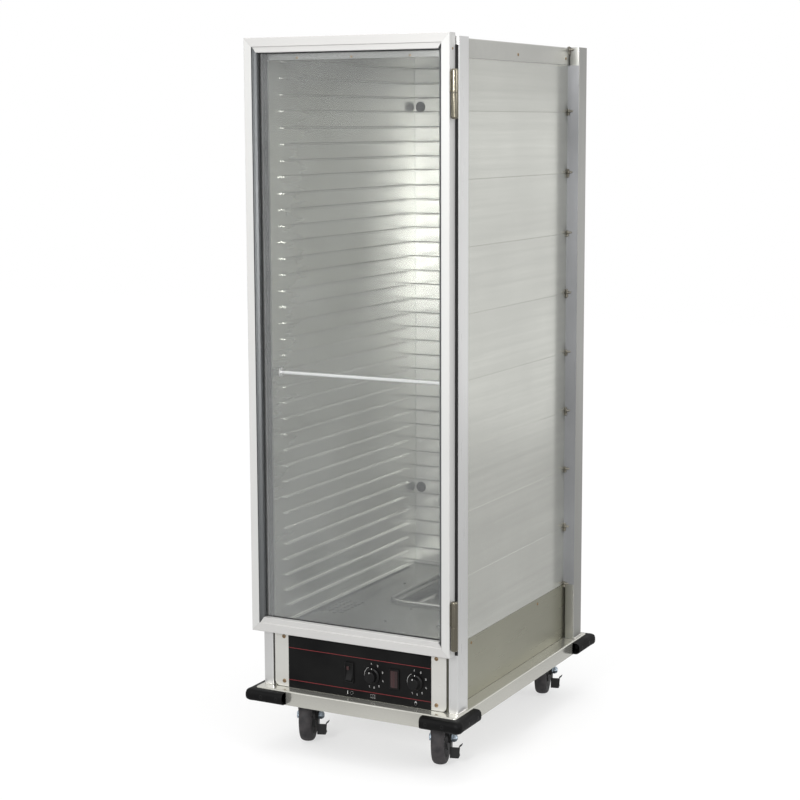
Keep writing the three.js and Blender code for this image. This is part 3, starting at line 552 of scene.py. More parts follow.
# Each metal: name, levels, roughness, grain's axis, metallic, streak, blotch, bump
ALUMINIUM = metal("satin_aluminium", (232, 232, 231), 0.3, "Z", 0.85, 0.01, 0.03, 0.06)
DOOR_METAL = metal("door_aluminium_upright", (216, 216, 214), 0.42, "Z", 0.45, 0.01, 0.02, 0.03)
# Painted shade: a darker copy of the door aluminium, given to the inward-looking faces of the stiles' lips.
SHADED_LIP_METAL = metal("door_lip_painted_shade", (112, 114, 115), 0.32, "Z", 0.95, 0.05, 0.05, 0.03)
RAIL_METAL = metal("door_aluminium_level", (208, 207, 205), 0.42, "X", 0.45, 0.01, 0.02, 0.03)
REAR_POST_METAL = metal("rear_post_aluminium", (172, 172, 168), 0.34, "Z", 0.85, 0.03, 0.06, 0.04)
ROOF_METAL = metal("roof_aluminium", (196, 196, 191), 0.36, "X", 0.85, 0.03, 0.05, 0.12)
BASE_METAL = metal("base_aluminium", (206, 205, 197), 0.15, "X", 0.75, 0.02, 0.05, 0.01)
SKIRT_METAL = metal("skirt_aluminium", (164, 163, 147), 0.3, "Y", 0.85, 0.03, 0.06, 0.03)
WALL_METAL = wall_metal()
REAR_METAL = metal("rear_aluminium", (214, 215, 210), 0.19, "X", 0.72, 0.08, 0.05, 0.014)
PANEL_METAL = metal("panel_aluminium", (222, 221, 216), 0.4, "X", 0.7, 0.03, 0.03, 0.12)
STAINLESS = metal("stainless", (134, 135, 131), 0.22, "X", 0.95, 0.05, 0.04, 0.12)
ZINC = metal("zinc_plate", (172, 184, 196), 0.3, "Z", 0.95, 0.02, 0.12, 0.12)
NICKEL = metal("nickel_plate", (128, 123, 110), 0.24, "Z", 0.97, 0.03, 0.08, 0.12)
PAN_STEEL = metal("pan_steel", (150, 151, 146), 0.15, "X", 0.97, 0.02, 0.04, 0.02)
# Painted shade: a darker copy of the roof aluminium, given to the roof tray's front-facing faces above the
# door.
SHADED_FLANGE_METAL = metal("roof_front_painted_shade", (140, 141, 138), 0.3, "X", 0.9, 0.03, 0.04, 0.03)
DULL_SCREW = metal("dull_screw", (92, 92, 90), 0.4, "Z", 0.9, 0.02, 0.1, 0.1)
SEAM = metal("sealed_seam", (136, 137, 139), 0.45, "Z", 0.6, 0.1, 0.25, 0.3)
BRONZE = metal("bronze_screw", (150, 128, 100), 0.35, "Z", 0.9, 0.02, 0.1, 0.12)
WELD = metal("weld_metal", (214, 213, 208), 0.3, "Z", 0.9, 0.1, 0.2, 0.4)
SCORCHED = metal("scorched_weld", (150, 146, 136), 0.4, "Z", 0.85, 0.2, 0.35, 0.4)
DARK_STEEL = painted_black("black_paint", 30, 0.42)
BLACK_RUBBER = painted_black("black_rubber", 6, 0.52, 1300, 0.14)
LABEL_FILM = painted_black("label_film", 9, 0.4, 2200, 0.15)
BLACK_PLASTIC = painted_black("black_plastic", 12, 0.42, 1600, 0.2)
GASKET_RUBBER = painted_black("gasket_rubber", 20, 0.5, 1100)
TREAD = tread_rubber()
HUB = painted_black("hub_plastic", 66, 0.5)
PANE = clear_pane()
LENS = red_lens()
INK = ink("white_ink", (226, 226, 224), (205, 205, 203), (238, 238, 236))
RED_INK = ink("red_ink", (128, 32, 36), (104, 26, 30), (142, 38, 42))


# Base

def folded_tray(name, low, high, radius, sheet, material, body, cad, hem):
    """A sheet folded down on all four sides, with a rounded top edge and a returned hem."""
    bm = bmesh.new()
    corner = 0.003
    rows = []
    for angle in range(0, 91, 15):
        turn = math.radians(angle)
        rows.append((radius * (1 - math.sin(turn)), high.z - radius * (1 - math.cos(turn)), corner + sheet))
    rows += [
        (0, low.z + 0.0006, corner + sheet), (0.0006, low.z, corner + sheet), (hem, low.z, corner),
        (hem, low.z + sheet, corner), (sheet, low.z + sheet, corner), (sheet, high.z - sheet, corner),
    ]
    loops = [inset_loop(low, high, *row) for row in rows]
    add_loft(bm, loops)
    return finish_piece(name, bm, material, body, cad)


def build_base():
    folded_tray(
        "base_tray", base_low, base_high, 0.0032, 0.002, BASE_METAL,
        "cabinet", ("base_pan",), 0.009,
    )
    for name in CORNERS:
        build_bumper(name)


PLUG = [(0, 0), (0.0052, 0), (0.005, 0.001), (0.0042, 0.0013), (0, 0.0009)]


def build_bumper(name):
    """A D section of rubber carried round the corner of the base, with domed ends and fixing plugs."""
    low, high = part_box(f"bumper_{name}")
    side_x = 1 if "right" in name else -1
    side_y = 1 if "front" in name else -1
    corner = Vector((base_high.x * side_x, base_low.y if side_y > 0 else base_high.y))
    depth = (high.x - base_high.x) if side_x > 0 else (base_low.x - low.x)
    height = high.z - low.z
    middle = (high.z + low.z) / 2
    front_leg = (high.x - low.x) - depth
    side_leg = (high.y - low.y) - depth
    bend = 0.004

    def section(inset_scale, height_scale):
        points = []
        for angle in range(-90, 91, 15):
            turn = math.radians(angle)
            out = depth * inset_scale * (math.cos(turn) ** 0.45 if abs(angle) < 90 else 0)
            points.append((out, height / 2 * height_scale * math.copysign(abs(math.sin(turn)) ** 0.75, turn)))
        return points

    stations = []
    cap = 6
    for step in range(cap + 1):
        turn = math.radians(90 * step / cap)
        stations.append((-front_leg + depth * (1 - math.sin(turn)) * 0.9, None, math.sin(turn)))
    for step in range(7):
        stations.append((None, math.radians(15 * step), 1.0))
    for step in range(cap, -1, -1):
        turn = math.radians(90 * step / cap)
        stations.append((None, side_leg - depth * (1 - math.sin(turn)) * 0.9, math.sin(turn)))
    loops = []
    for number, (along_front, other, scale) in enumerate(stations):
        size = max(scale, 0.12)
        loop = []
        scales = (0.35 + 0.65 * size, 0.3 + 0.7 * size) if scale < 1 else (1.0, 1.0)
        for out, rise in section(*scales):
            if along_front is not None:
                point = Vector((along_front, -out))
            elif number <= cap + 7:
                square = 1 + 0.3 * math.sin(2 * other) ** 2
                outwards = Vector((math.sin(other), -math.cos(other)))
                point = outwards * (out + bend) * square + Vector((-bend, bend))
            else:
                point = Vector((out, other))
            loop.append((corner.x + side_x * point.x, corner.y + side_y * point.y, middle + rise))
        loops.append(loop)
    bm = bmesh.new()
    add_loft(bm, loops)
    finish_piece(
        f"rubber_bumper_{name}", bm, BLACK_RUBBER, "cabinet", (f"bumper_{name}",), angle=60,
    )
    plugs = bmesh.new()
    for share in (0.3, 0.8):
        place = (corner.x - side_x * front_leg * share, corner.y - side_y * (depth - 0.0012), middle)
        add_lathe(plugs, PLUG, place, -Y * side_y, 20)
        place = (corner.x + side_x * (depth - 0.0012), corner.y + side_y * side_leg * share, middle)
        add_lathe(plugs, PLUG, place, X * side_x, 20)
    finish_piece(f"bumper_plugs_{name}", plugs, BLACK_PLASTIC, "cabinet", ())


# Frame and walls

def build_posts():
    for name in CORNERS:
        low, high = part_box(f"post_{name}")
        bm = bmesh.new()
        outline = rounded_rectangle((low.x, low.y), (high.x, high.y), 0.0022, 4)
        add_prism(bm, outline, "Z", low.z, high.z)
        look = ALUMINIUM if "front" in name else REAR_POST_METAL
        finish_piece(
            f"upright_{name}", bm, look, "cabinet", (f"post_{name}",), bevel=0.0005,
        )


def plank_outline(ledge, skin):
    """One plank's section: distance inwards from its outer face, and height above its lower edge."""
    edge = 0.0009
    points = [(edge, 0), (0, edge), (0, PLANK - edge), (edge, PLANK), (skin, PLANK)]
    pitch = PLANK / LEDGES
    for number in range(LEDGES - 1, -1, -1):
        foot = number * pitch
        thick = 0.0034 if number == 0 else 0.0022
        tip = skin + ledge
        points += [
            (skin, foot + thick + 0.002),
            (skin + 0.002, foot + thick),
            (tip - 0.0016, foot + thick),
            (tip - 0.0008, foot + thick + 0.0008),
            (tip, foot + thick - 0.0002),
            (tip, foot + 0.0006),
            (tip - 0.0006, foot),
        ]
        if number:
            points += [(skin + 0.001, foot), (skin, foot - 0.001)]
    return points


def build_side_wall(name, side):
    low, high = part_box(f"side_wall_{name}")
    outer = high.x if side > 0 else -low.x
    bm = bmesh.new()
    skin = 0.0025
    ledge = 0.0098
    gap = 0.0003
    for number in range(PLANKS):
        foot = low.z + number * PLANK
        outline = [(side * (SKIRT_OUTER - a), foot + b) for a, b in plank_outline(ledge, skin)]
        add_prism(bm, outline, "Y", post_high.y, LEDGE_END)
        for y0, y1 in ((low.y, post_high.y), (LEDGE_END, high.y)):
            plain = [
                (side * (SKIRT_OUTER - a), foot + b)
                for a, b in ((0, gap), (skin, gap), (skin, PLANK - gap), (0, PLANK - gap))
            ]
            add_prism(bm, plain, "Y", y0, y1)
    for y0, y1 in ((low.y + 0.001, post_high.y - 0.001), (REAR_POST_FRONT + 0.001, high.y - 0.001)):
        add_box(
            bm, (min(side * SKIRT_OUTER, side * outer), y0, low.z + 0.001),
            (max(side * SKIRT_OUTER, side * outer), y1, TOP_FLANGE_BOTTOM - 0.001),
        )
    finish_piece(f"ledged_wall_{name}", bm, WALL_METAL, "cabinet", (f"side_wall_{name}",))


def build_rear_wall():
    """Level planks between the rear posts, with two pairs of vent holes."""
    low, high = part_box("rear_wall")
    vent = 0.0118
    vent_x = 0.211
    heights = (0.515, 1.541)

    def planks(numbers):
        bm = bmesh.new()
        for number in numbers:
            foot = low.z + number * PLANK
            outline = [(high.y - a, foot + b) for a, b in plank_outline(high.y - low.y - 0.0025, 0.0025)]
            add_prism(bm, outline, "X", low.x, high.x)
        return bm

    vented = [int((z - low.z) / PLANK) for z in heights]
    wall = finish_piece(
        "rear_planks", planks(vented), REAR_METAL, "cabinet", ("rear_wall",),
    )
    cutter = bmesh.new()
    rims = bmesh.new()
    for side in (-1, 1):
        for z in heights:
            place = Vector((side * vent_x, high.y + 0.01, z))
            add_lathe(cutter, [(0, 0), (vent, 0), (vent, -0.04), (0, -0.04)], place, Y, 32)
            rim = [
                (vent - 0.0016, -0.0034), (vent + 0.0024, -0.0034), (vent + 0.0024, 0.0006),
                (vent + 0.0004, 0.0012), (vent - 0.0016, 0.0004), (vent - 0.0016, -0.0034),
            ]
            add_lathe(rims, rim, (place.x, high.y, z), Y, 32)
            # Painted shade: a black disc set just inside each vent, so that the hole reads dark.
            vent_shade_disc = [
                (0, -0.0006), (vent - 0.0014, -0.0006), (vent - 0.0012, 0.0),
                (vent - 0.0014, 0.0006), (0, 0.0011),
            ]
            add_lathe(rims, vent_shade_disc, (place.x, high.y - 0.0018, z), Y, 32)
    cut_with(wall, cutter)
    rest = planks([number for number in range(PLANKS) if number not in vented])
    rest.from_mesh(wall.data)
    bmesh.ops.recalc_face_normals(rest, faces=rest.faces)
    rest.to_mesh(wall.data)
    rest.free()
    wall.data.shade_smooth()
    wall.data.set_sharp_from_angle(angle=math.radians(32))
    finish_piece("vent_bushes_and_painted_shade", rims, BLACK_RUBBER, "cabinet", ())


def cut_with(piece, bm):
    """Cuts a closed shape out of a piece for good."""
    bmesh.ops.recalc_face_normals(bm, faces=bm.faces)
    mesh = bpy.data.meshes.new("cutter")
    bm.to_mesh(mesh)
    bm.free()
    cutter = bpy.data.objects.new("cutter", mesh)
    bpy.context.collection.objects.link(cutter)
    cut = piece.modifiers.new("cut", "BOOLEAN")
    cut.operation = "DIFFERENCE"
    cut.solver = "EXACT"
    cut.object = cutter
    bpy.context.view_layer.update()
    graph = bpy.context.evaluated_depsgraph_get()
    result = bpy.data.meshes.new_from_object(piece.evaluated_get(graph))
    piece.modifiers.remove(cut)
    piece.data = result
    bpy.data.objects.remove(cutter)


def build_walls():
    build_side_wall("left", -1)
    build_side_wall("right", 1)
    build_rear_wall()
    screws = bmesh.new()
    skirt_row, roof_row, front_row = 0.292, 1.657, 1.6455
    for name, side in (("left", -1), ("right", 1)):
        low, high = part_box(f"side_skirt_{name}")
        bm = bmesh.new()
        add_box(bm, low, high)
        finish_piece(
            f"lower_skirt_{name}", bm, SKIRT_METAL, "cabinet", (f"side_skirt_{name}",),
            bevel=0.0008,
        )
        for y in (FRONT + 0.13, FRONT + 0.517):
            add_screw(screws, (side * SKIRT_OUTER, y, skirt_row), X * side, 0.0036, 0.0014)
        for y in (FRONT + 0.374, FRONT + 0.665):
            add_screw(screws, (side * top_high.x, y, roof_row), X * side, 0.0036, 0.0014)
    for x in (-0.15, -0.008, 0.14):
        add_screw(screws, (x, top_low.y, front_row), -Y, 0.003, 0.0012)
    finish_piece("skin_screws", screws, BRONZE, "cabinet", ())
    roof = folded_tray(
        "roof_tray", top_low, top_high, 0.0028, 0.002, ROOF_METAL,
        "cabinet", ("top_pan",), 0.0021,
    )
    # The front-facing faces of the roof tray get the darker copy, which is painted shade.
    coat_faces(roof, SHADED_FLANGE_METAL, -Y, 0.8)


def build_welds():
    """Bright beads at the post feet, and scorched stitches where the planks meet the rear posts."""
    bright = bmesh.new()
    dark = bmesh.new()
    foot = base_high.z + 0.0006
    for name in CORNERS:
        low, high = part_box(f"post_{name}")
        side = 1 if "right" in name else -1
        outer = high.x if side > 0 else low.x
        weld_line(bright, (outer, low.y + 0.004, foot), (outer, high.y - 0.002, foot), 0.0026)
        face = low.y if "front" in name else high.y
        weld_line(bright, (low.x + 0.003, face, foot), (high.x - 0.003, face, foot), 0.0022)
    for side in (-1, 1):
        for number in range(PLANKS + 1):
            z = wall_low.z + number * PLANK
            reach = 0.011 if number % 2 else 0.008
            x = side * (SKIRT_OUTER + 0.0022)
            y = REAR_POST_FRONT - 0.0012
            weld_line(dark, (x, y, z - reach), (x, y, z + reach), 0.0042)
            weld_line(dark, (x, y - 0.004, z + 0.002), (x + side * 0.012, y + 0.0005, z + 0.003), 0.0028)
            front = post_high.y + 0.0004
            x = side * SKIRT_OUTER
            weld_line(dark, (x, front, z - 0.006), (x, front, z + 0.006), 0.0012)
    for side in (-1, 1):
        seam = bmesh.new()
        outline = [
            (side * x, REAR_POST_FRONT - depth) for x, depth in (
                (SKIRT_OUTER + 0.0001, 0.0022), (SKIRT_OUTER + 0.0012, 0.0016),
                (rear_high.x - 0.0012, 0.0005), (rear_high.x - 0.0003, 0.0001),
                (SKIRT_OUTER + 0.0001, 0.0001),
            )
        ]
        add_prism(seam, outline, "Z", wall_low.z + 0.001, TOP_FLANGE_BOTTOM - 0.001)
        name = "left" if side < 0 else "right"
        finish_piece(f"post_seam_{name}", seam, SEAM, "cabinet", ())
    finish_piece("foot_welds", bright, WELD, "cabinet", (), angle=70)
    finish_piece("plank_welds", dark, SCORCHED, "cabinet", (), angle=70)


# Inside the cabinet

def build_deck():
    """The floor of the cabinet: perforated above the fan, and open for the water pan."""
    low, high = deck_low, deck_high
    sheet = 0.0009
    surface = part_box("water_pan")[0].z + 0.045 - 0.0018
    bm = bmesh.new()
    cove = 0.0022
    turns = (0.0, 0.5, 1.0, 1.57)
    bend = [(sheet + cove - cove * math.cos(a), surface + cove - cove * math.sin(a)) for a in turns]
    section = [(low.x, high.z), (low.x, surface - sheet), (high.x, surface - sheet), (high.x, high.z)]
    section += [(high.x - sheet, high.z)] + [(high.x - inset, z) for inset, z in bend]
    section += [(low.x + inset, z) for inset, z in reversed(bend)] + [(low.x + sheet, high.z)]
    add_prism(bm, section, "Y", low.y, high.y)
    deck = finish_piece("perforated_deck", bm, STAINLESS, "cabinet", ("floor_deck",))
    cutter = bmesh.new()
    pan_low, pan_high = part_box("water_pan")
    opening = rounded_rectangle(
        (pan_low.x + 0.0035, pan_low.y + 0.0035), (pan_high.x - 0.0035, pan_high.y - 0.0035), 0.02, 6,
    )
    add_prism(cutter, opening, "Z", surface - 0.01, surface + 0.01)
    pitch = 0.017
    hole = 0.0052
    # Painted shade: a dark disc just under each hole and a black sheet below them, so that the holes read
    # dark.
    shade_under_holes = bmesh.new()
    for row in range(4):
        for column in range(7):
            x = -0.204 + row * pitch
            y = FRONT + 0.182 + column * pitch + (row % 2) * pitch / 2
            add_lathe(cutter, [(0, -0.01), (hole, -0.01), (hole, 0.01), (0, 0.01)], (x, y, surface), Z, 16)
            shade_disc_under_hole = [(0, -0.0018), (hole - 0.0002, -0.0018), (hole - 0.0002, -0.0004), (0, -0.0003)]
            add_lathe(shade_under_holes, shade_disc_under_hole, (x, y, surface), Z, 16)
    cut_with(deck, cutter)
    add_box(shade_under_holes, (-0.214, FRONT + 0.172, surface - 0.0036), (-0.143, FRONT + 0.304, surface - 0.002))
    finish_piece("painted_shade_under_perforations", shade_under_holes, BLACK_RUBBER, "cabinet", ())
    lip = bmesh.new()
    add_box(lip, (low.x, low.y, low.z), (high.x, low.y + sheet, surface - sheet))
    finish_piece("deck_front_lip", lip, STAINLESS, "cabinet", (), bevel=0.0004)
    screws = bmesh.new()
    for x, y in ((-0.02, 0.168), (0.113, 0.187), (-0.146, 0.509), (0.18, 0.5), (-0.015, 0.296)):
        add_screw(screws, (x, FRONT + y, surface), Z, 0.0036, 0.0012)
    finish_piece("deck_screws", screws, DULL_SCREW, "cabinet", ())


def build_water_pan():
    """A pressed pan with a rolled rim, drawn corners and a shallow step below the rim."""
    low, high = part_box("water_pan")
    sheet = 0.0011
    top = high.z
    crown = top + 0.0052
    inside = [
        (0.0002, top - 0.0014, 0.024), (0.0, top - 0.0008, 0.024), (0.0, top + 0.0018, 0.024),
        (0.0004, top + 0.0024, 0.0238), (0.0004, crown - 0.0014, 0.0238),
        (0.0009, crown - 0.0005, 0.0234), (0.0018, crown, 0.023), (0.0036, crown, 0.022),
        (0.0046, crown - 0.0005, 0.0214), (0.005, crown - 0.0014, 0.021),
        (0.0056, top - 0.0002, 0.0206), (0.0062, top - 0.0016, 0.02), (0.0064, top - 0.009, 0.02),
        (0.0078, top - 0.0102, 0.019), (0.0084, top - 0.012, 0.019), (0.0096, low.z + 0.012, 0.019),
        (0.0118, low.z + 0.005, 0.018), (0.017, low.z + 0.0018, 0.014), (0.026, low.z + sheet, 0.01),
    ]
    outside = [
        (0.026, low.z, 0.01), (0.0162, low.z + 0.0008, 0.0146), (0.0108, low.z + 0.0044, 0.018),
        (0.0085, low.z + 0.012, 0.019), (0.0073, top - 0.012, 0.019), (0.0053, top - 0.009, 0.02),
        (0.005, top - 0.0018, 0.02), (0.0042, crown - 0.0016, 0.021), (0.0034, crown - 0.0008, 0.0218),
        (0.002, crown - 0.0008, 0.0226), (0.0012, crown - 0.0016, 0.023), (0.0012, top - 0.0014, 0.023),
    ]
    bm = bmesh.new()
    loops = [inset_loop(low, high, *row, steps=8) for row in inside + outside]
    rings = [[bm.verts.new(point) for point in loop] for loop in loops]
    inside_floor, under_floor = rings[len(inside) - 1], rings[len(inside)]
    join_rings(bm, rings[:len(inside)])
    join_rings(bm, rings[len(inside):] + rings[:1])
    bm.faces.new(inside_floor)
    bm.faces.new(list(reversed(under_floor)))
    finish_piece("humidity_pan", bm, PAN_STEEL, "pan", ("water_pan",), angle=50)


def build_crossbar():
    low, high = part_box("crossbar")
    middle = (low + high) / 2
    half = 0.0038
    bm = bmesh.new()
    outline = rounded_rectangle(
        (middle.y - half, middle.z - half), (middle.y + half, middle.z + half), 0.0012, 3,
    )
    add_prism(bm, outline, "X", low.x + 0.001, high.x - 0.001)
    for x in (low.x, high.x - 0.002):
        plate = rounded_rectangle((low.y, low.z), (high.y, high.z), 0.003, 3)
        add_prism(bm, plate, "X", x, x + 0.002)
    for side in (-1, 1):
        for z in (-0.0068, 0.0068):
            add_screw(bm, (side * (high.x - 0.0021), middle.y, middle.z + z), -X * side, 0.0022, 0.0009, 16)
    finish_piece("cross_bar", bm, ALUMINIUM, "cabinet", ("crossbar",), bevel=0.0003)


# Door

def door_outline(lip, sloped):
    """The frame bar's section: distance inwards from the door's edge, and depth from its front."""
    band = 0.021
    width = band + lip
    depth = DOOR_DEPTH
    if sloped:
        step = [
            (band + 0.0002, 0.0032), (band + 0.0024, 0.0048), (band + 0.0028, 0.006),
            (width - 0.0016, 0.0086), (width, 0.0102),
        ]
    else:
        step = [(band, 0.0028), (band + 0.0006, 0.0034), (width - 0.001, 0.0034), (width, 0.0044)]
    return [
        (0.0012, 0), (0.0202, 0), (band, 0.0008), *step, (width, 0.0186), (width - 0.0022, 0.0192),
        (width - 0.0022, 0.0234), (width, 0.024), (width, depth - 0.0008), (width - 0.0008, depth),
        (0.0012, depth), (0, depth - 0.0012), (0, 0.0012),
    ]


def build_door():
    left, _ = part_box("door_stile_left")
    _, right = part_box("door_stile_right")
    bottom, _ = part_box("door_rail_bottom")
    _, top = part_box("door_rail_top")
    x0, x1, z0, z1 = left.x - 0.0001, right.x, bottom.z, top.z
    front = left.y
    seam = 0.00012
    stile_lip, rail_lip = 0.009, 0.013
    corner = 0.03

    def bar(name, along, edge, inwards, lip, cad, material):
        bm = bmesh.new()
        loops = []
        for at, direction in (((z0, 1), (z1, -1)) if along == "Z" else ((x0, 1), (x1, -1))):
            loop = []
            for inset, depth in door_outline(lip, along == "Z"):
                place = at + direction * (min(inset, corner) + seam)
                across = edge + inwards * inset
                a, b = (across, place) if along == "Z" else (place, across)
                loop.append((a, front + depth, b))
            loops.append(loop)
        add_loft(bm, loops)
        piece = finish_piece(name, bm, material, "door", (cad,), angle=28)
        # Stiles: the inward-looking lip faces get the darker copy of the metal, which is painted shade.
        if along == "Z":
            coat_faces(piece, SHADED_LIP_METAL, X * inwards)

    bar("stile_left", "Z", x0, 1, stile_lip, "door_stile_left", DOOR_METAL)
    bar("stile_right", "Z", x1, -1, stile_lip, "door_stile_right", DOOR_METAL)
    bar("rail_top", "X", z1, -1, rail_lip, "door_rail_top", RAIL_METAL)
    bar("rail_bottom", "X", z0, 1, rail_lip, "door_rail_bottom", RAIL_METAL)
    pane_low, pane_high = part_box("door_pane")
    bm = bmesh.new()
    add_box(bm, pane_low, pane_high)
    finish_piece("clear_pane", bm, PANE, "door", ("door_pane",))
    build_glazing_seal(pane_low, pane_high, x0, x1, z0, z1)
    build_gasket()
    screws = bmesh.new()
    for z in (z1 - 0.0345, z0 + 0.035):
        for side, x in ((-1, x0), (1, x1)):
            add_screw(screws, (x, front + 0.015, z), X * side, 0.0028, 0.0008, 16)
    finish_piece("corner_screws", screws, BRONZE, "door", ())


def add_frame(bm, low, high, section, front, direction=1):
    """A mitred frame inside two (x, z) corners. Its section is distance inwards and rise from the front."""
    rings = []
    for inset, rise in section:
        (x0, z0), (x1, z1) = (low[0] + inset, low[1] + inset), (high[0] - inset, high[1] - inset)
        points = ((x0, z0), (x1, z0), (x1, z1), (x0, z1))
        rings.append([bm.verts.new((x, front + direction * rise, z)) for x, z in points])
    join_rings(bm, rings, closed=True)


def build_glazing_seal(pane_low, pane_high, x0, x1, z0, z1):
    """A slim black bead that holds the pane against the frame on both faces."""
    bm = bmesh.new()
    section = ((0, 0), (0, 0.0014), (0.0012, 0.0019), (0.0026, 0.0012), (0.003, 0))
    for y, direction in ((pane_low.y - 0.0001, -1), (pane_high.y + 0.0001, 1)):
        add_frame(bm, (x0 + 0.029, z0 + 0.033), (x1 - 0.029, z1 - 0.033), section, y, direction)
    finish_piece("glazing_bead", bm, GASKET_RUBBER, "door", (), angle=60)


def build_gasket():
    """A magnetic seal: a flat foot with a soft bulb, mitred at the corners, and a black strip on its hinge
    side that is painted shade for the gap between door and post.
    """
    low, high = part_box("door_gasket")
    bm = bmesh.new()
    depth = high.y - low.y
    section = [
        (0, 0), (0.0008, depth * 0.3), (0.0002, depth * 0.75), (0.0018, depth), (0.0056, depth * 0.97),
        (0.0088, depth), (0.0108, depth * 0.7), (0.0096, depth * 0.35), (0.011, 0),
    ]
    add_frame(bm, (low.x, low.z), (high.x, high.z), section, low.y)
    # Painted shade: a black strip reaching over the post's front on the hinge side, where the door's shadow
    # falls.
    add_box(bm, (high.x + 0.0002, low.y + 0.0004, low.z), (high.x + HINGE_GAP_SHADE, high.y - 0.0002, high.z))
    finish_piece("magnetic_gasket_and_gap_shade", bm, GASKET_RUBBER, "door", ("door_gasket",), angle=50)


def build_hinges():
    hinge = Vector(JOINTS["door_hinge"]["pos_m"])
    for level in ("upper", "lower"):
        for owner, body in (("post", "cabinet"), ("door", "door")):
            node = f"hinge_{level}_{owner}_knuckle"
            low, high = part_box(node)
            split_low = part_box(f"hinge_{level}_door_knuckle")[0].z
            bottom, top = (low.z, split_low - 0.0003) if owner == "post" else (split_low, high.z)
            radius = 0.0084
            round_end, flat_end = (bottom, top) if owner == "post" else (top, bottom)
            direction = 1 if round_end > flat_end else -1
            profile = [(0, flat_end), (radius - 0.0005, flat_end), (radius, flat_end + direction * 0.0006)]
            crown = 0.0045
            for degrees in range(0, 90, 15):
                turn = math.radians(degrees)
                drop = crown * (1 - math.sin(turn))
                profile.append((radius - crown + crown * math.cos(turn), round_end - direction * drop))
            profile += [(0.0022, round_end), (0, round_end - direction * 0.0004)]
            bm = bmesh.new()
            add_lathe(bm, profile, (hinge.x, hinge.y, 0), Z, 40)
            if owner == "post":
                near = (low.x + 0.0026, hinge.y, bottom + 0.006)
                add_box(bm, near, (low.x + 0.0056, FRONT - 0.0003, top - 0.002))
            else:
                near = (low.x + 0.0002, low.y + 0.001, bottom + 0.002)
                add_box(bm, near, (low.x + 0.0026, high.y, top - 0.006))
            finish_piece(f"{level}_{owner}_knuckle", bm, NICKEL, body, (node,), bevel=0.0004)


# Heat and humidity module

def build_control_panel():
    low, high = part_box("control_panel")
    bm = bmesh.new()
    corner = 0.012
    outline = [(low.x, high.z)]
    outline += arc((low.x + corner, low.z + corner), corner, 180, 270, 8)
    outline += arc((high.x - corner, low.z + corner), corner, 270, 360, 8)
    outline += [(high.x, high.z)]
    add_prism(bm, outline, "Y", low.y, low.y + 0.002)
    add_box(bm, (low.x + 0.005, low.y + 0.0015, high.z - 0.0025), (high.x - 0.005, high.y, high.z - 0.0005))
    for side in (-1, 1):
        near, far = sorted((side * (high.x - 0.0065), side * (high.x - 0.0081)))
        add_box(bm, (near, low.y + 0.0018, low.z + 0.03), (far, high.y, high.z - 0.003))
    finish_piece(
        "module_front", bm, PANEL_METAL, "module", ("control_panel",), bevel=0.0005,
    )
    screws = bmesh.new()
    for x in (-0.204, 0.204):
        for z in (base_high.z + 0.014, base_high.z + 0.124):
            add_screw(screws, (x, low.y, z), -Y, 0.0048, 0.0022)
    finish_piece("module_screws", screws, BRONZE, "module", ())
    dimple = bmesh.new()
    add_lathe(
        dimple, [(0, 0.0002), (0.0016, 0.0004), (0.0026, 0.0001), (0.0026, -0.0005), (0, -0.0005)],
        (0.213, low.y - 0.0002, base_high.z + 0.062), -Y, 20,
    )
    finish_piece("panel_rivet", dimple, PANEL_METAL, "module", ())


def build_label():
    """A printed film with two thin red rules and scale numbers round the two dials. A white arc widens close
    round the left of each dial.
    """
    low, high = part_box("panel_label")
    bm = bmesh.new()
    outline = rounded_rectangle((low.x, low.z), (high.x, high.z), 0.0012, 3)
    add_prism(bm, outline, "Y", low.y, high.y)
    finish_piece("printed_film", bm, LABEL_FILM, "module", ("panel_label",), bevel=0.0002)
    rules = bmesh.new()
    for z in (base_high.z + 0.099, base_high.z + 0.020):
        near = (low.x + 0.0002, low.y - 0.00012, z - 0.0006)
        add_box(rules, near, (high.x - 0.0002, low.y + 0.0001, z + 0.0006))
    finish_piece("red_rules", rules, RED_INK, "module", ())
    marks = bmesh.new()
    for knob in ("heat_knob", "humidity_knob"):
        knob_low, knob_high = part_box(knob)
        centre = (knob_low + knob_high) / 2
        for number, angle in enumerate((99, 62, 22, -20, -54, -82, -109)):
            add_digit(marks, str(number + 1), centre, math.radians(angle), 0.0285, low.y)
        # A white arc whose stroke widens as it goes down, close round the left of each dial.
        sweep = list(arc((centre.x, centre.z), 0.0218, 120, 196, 14))
        for number, (start, end) in enumerate(zip(sweep, sweep[1:])):
            add_stroke(marks, start, end, 0.0003 + 0.00004 * number, low.y)
    add_symbols(marks, low.y)
    finish_piece("dial_marks", marks, INK, "module", ())


SEGMENTS = {"1": "bc", "2": "abged", "3": "abgcd", "4": "fgbc", "5": "afgcd", "6": "afgedc", "7": "abc"}
SEGMENT_LINES = {
    "a": ((0, 2), (1, 2)), "b": ((1, 2), (1, 1)), "c": ((1, 1), (1, 0)), "d": ((0, 0), (1, 0)),
    "e": ((0, 0), (0, 1)), "f": ((0, 1), (0, 2)), "g": ((0, 1), (1, 1)),
}


def add_stroke(bm, start, end, half, y):
    start, end = Vector(start), Vector(end)
    along = (end - start).normalized()
    across = Vector((-along.y, along.x)) * half
    start, end = start - along * half, end + along * half
    corners = (start - across, end - across, end + across, start + across)
    add_prism(bm, [(corner.x, corner.y) for corner in corners], "Y", y - 0.0001, y + 0.0001)


def add_digit(bm, digit, centre, turn, radius, y):
    """A plain scale number, upright, at its place round the dial."""
    size = 0.0019
    foot = Vector((centre.x + radius * math.cos(turn) - size / 2, centre.z + radius * math.sin(turn) - size))
    for segment in SEGMENTS[digit]:
        start, end = ((foot.x + a * size, foot.y + b * size) for a, b in SEGMENT_LINES[segment])
        add_stroke(bm, start, end, 0.00034, y)


def middle_x(node):
    low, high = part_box(node)
    return (low.x + high.x) / 2


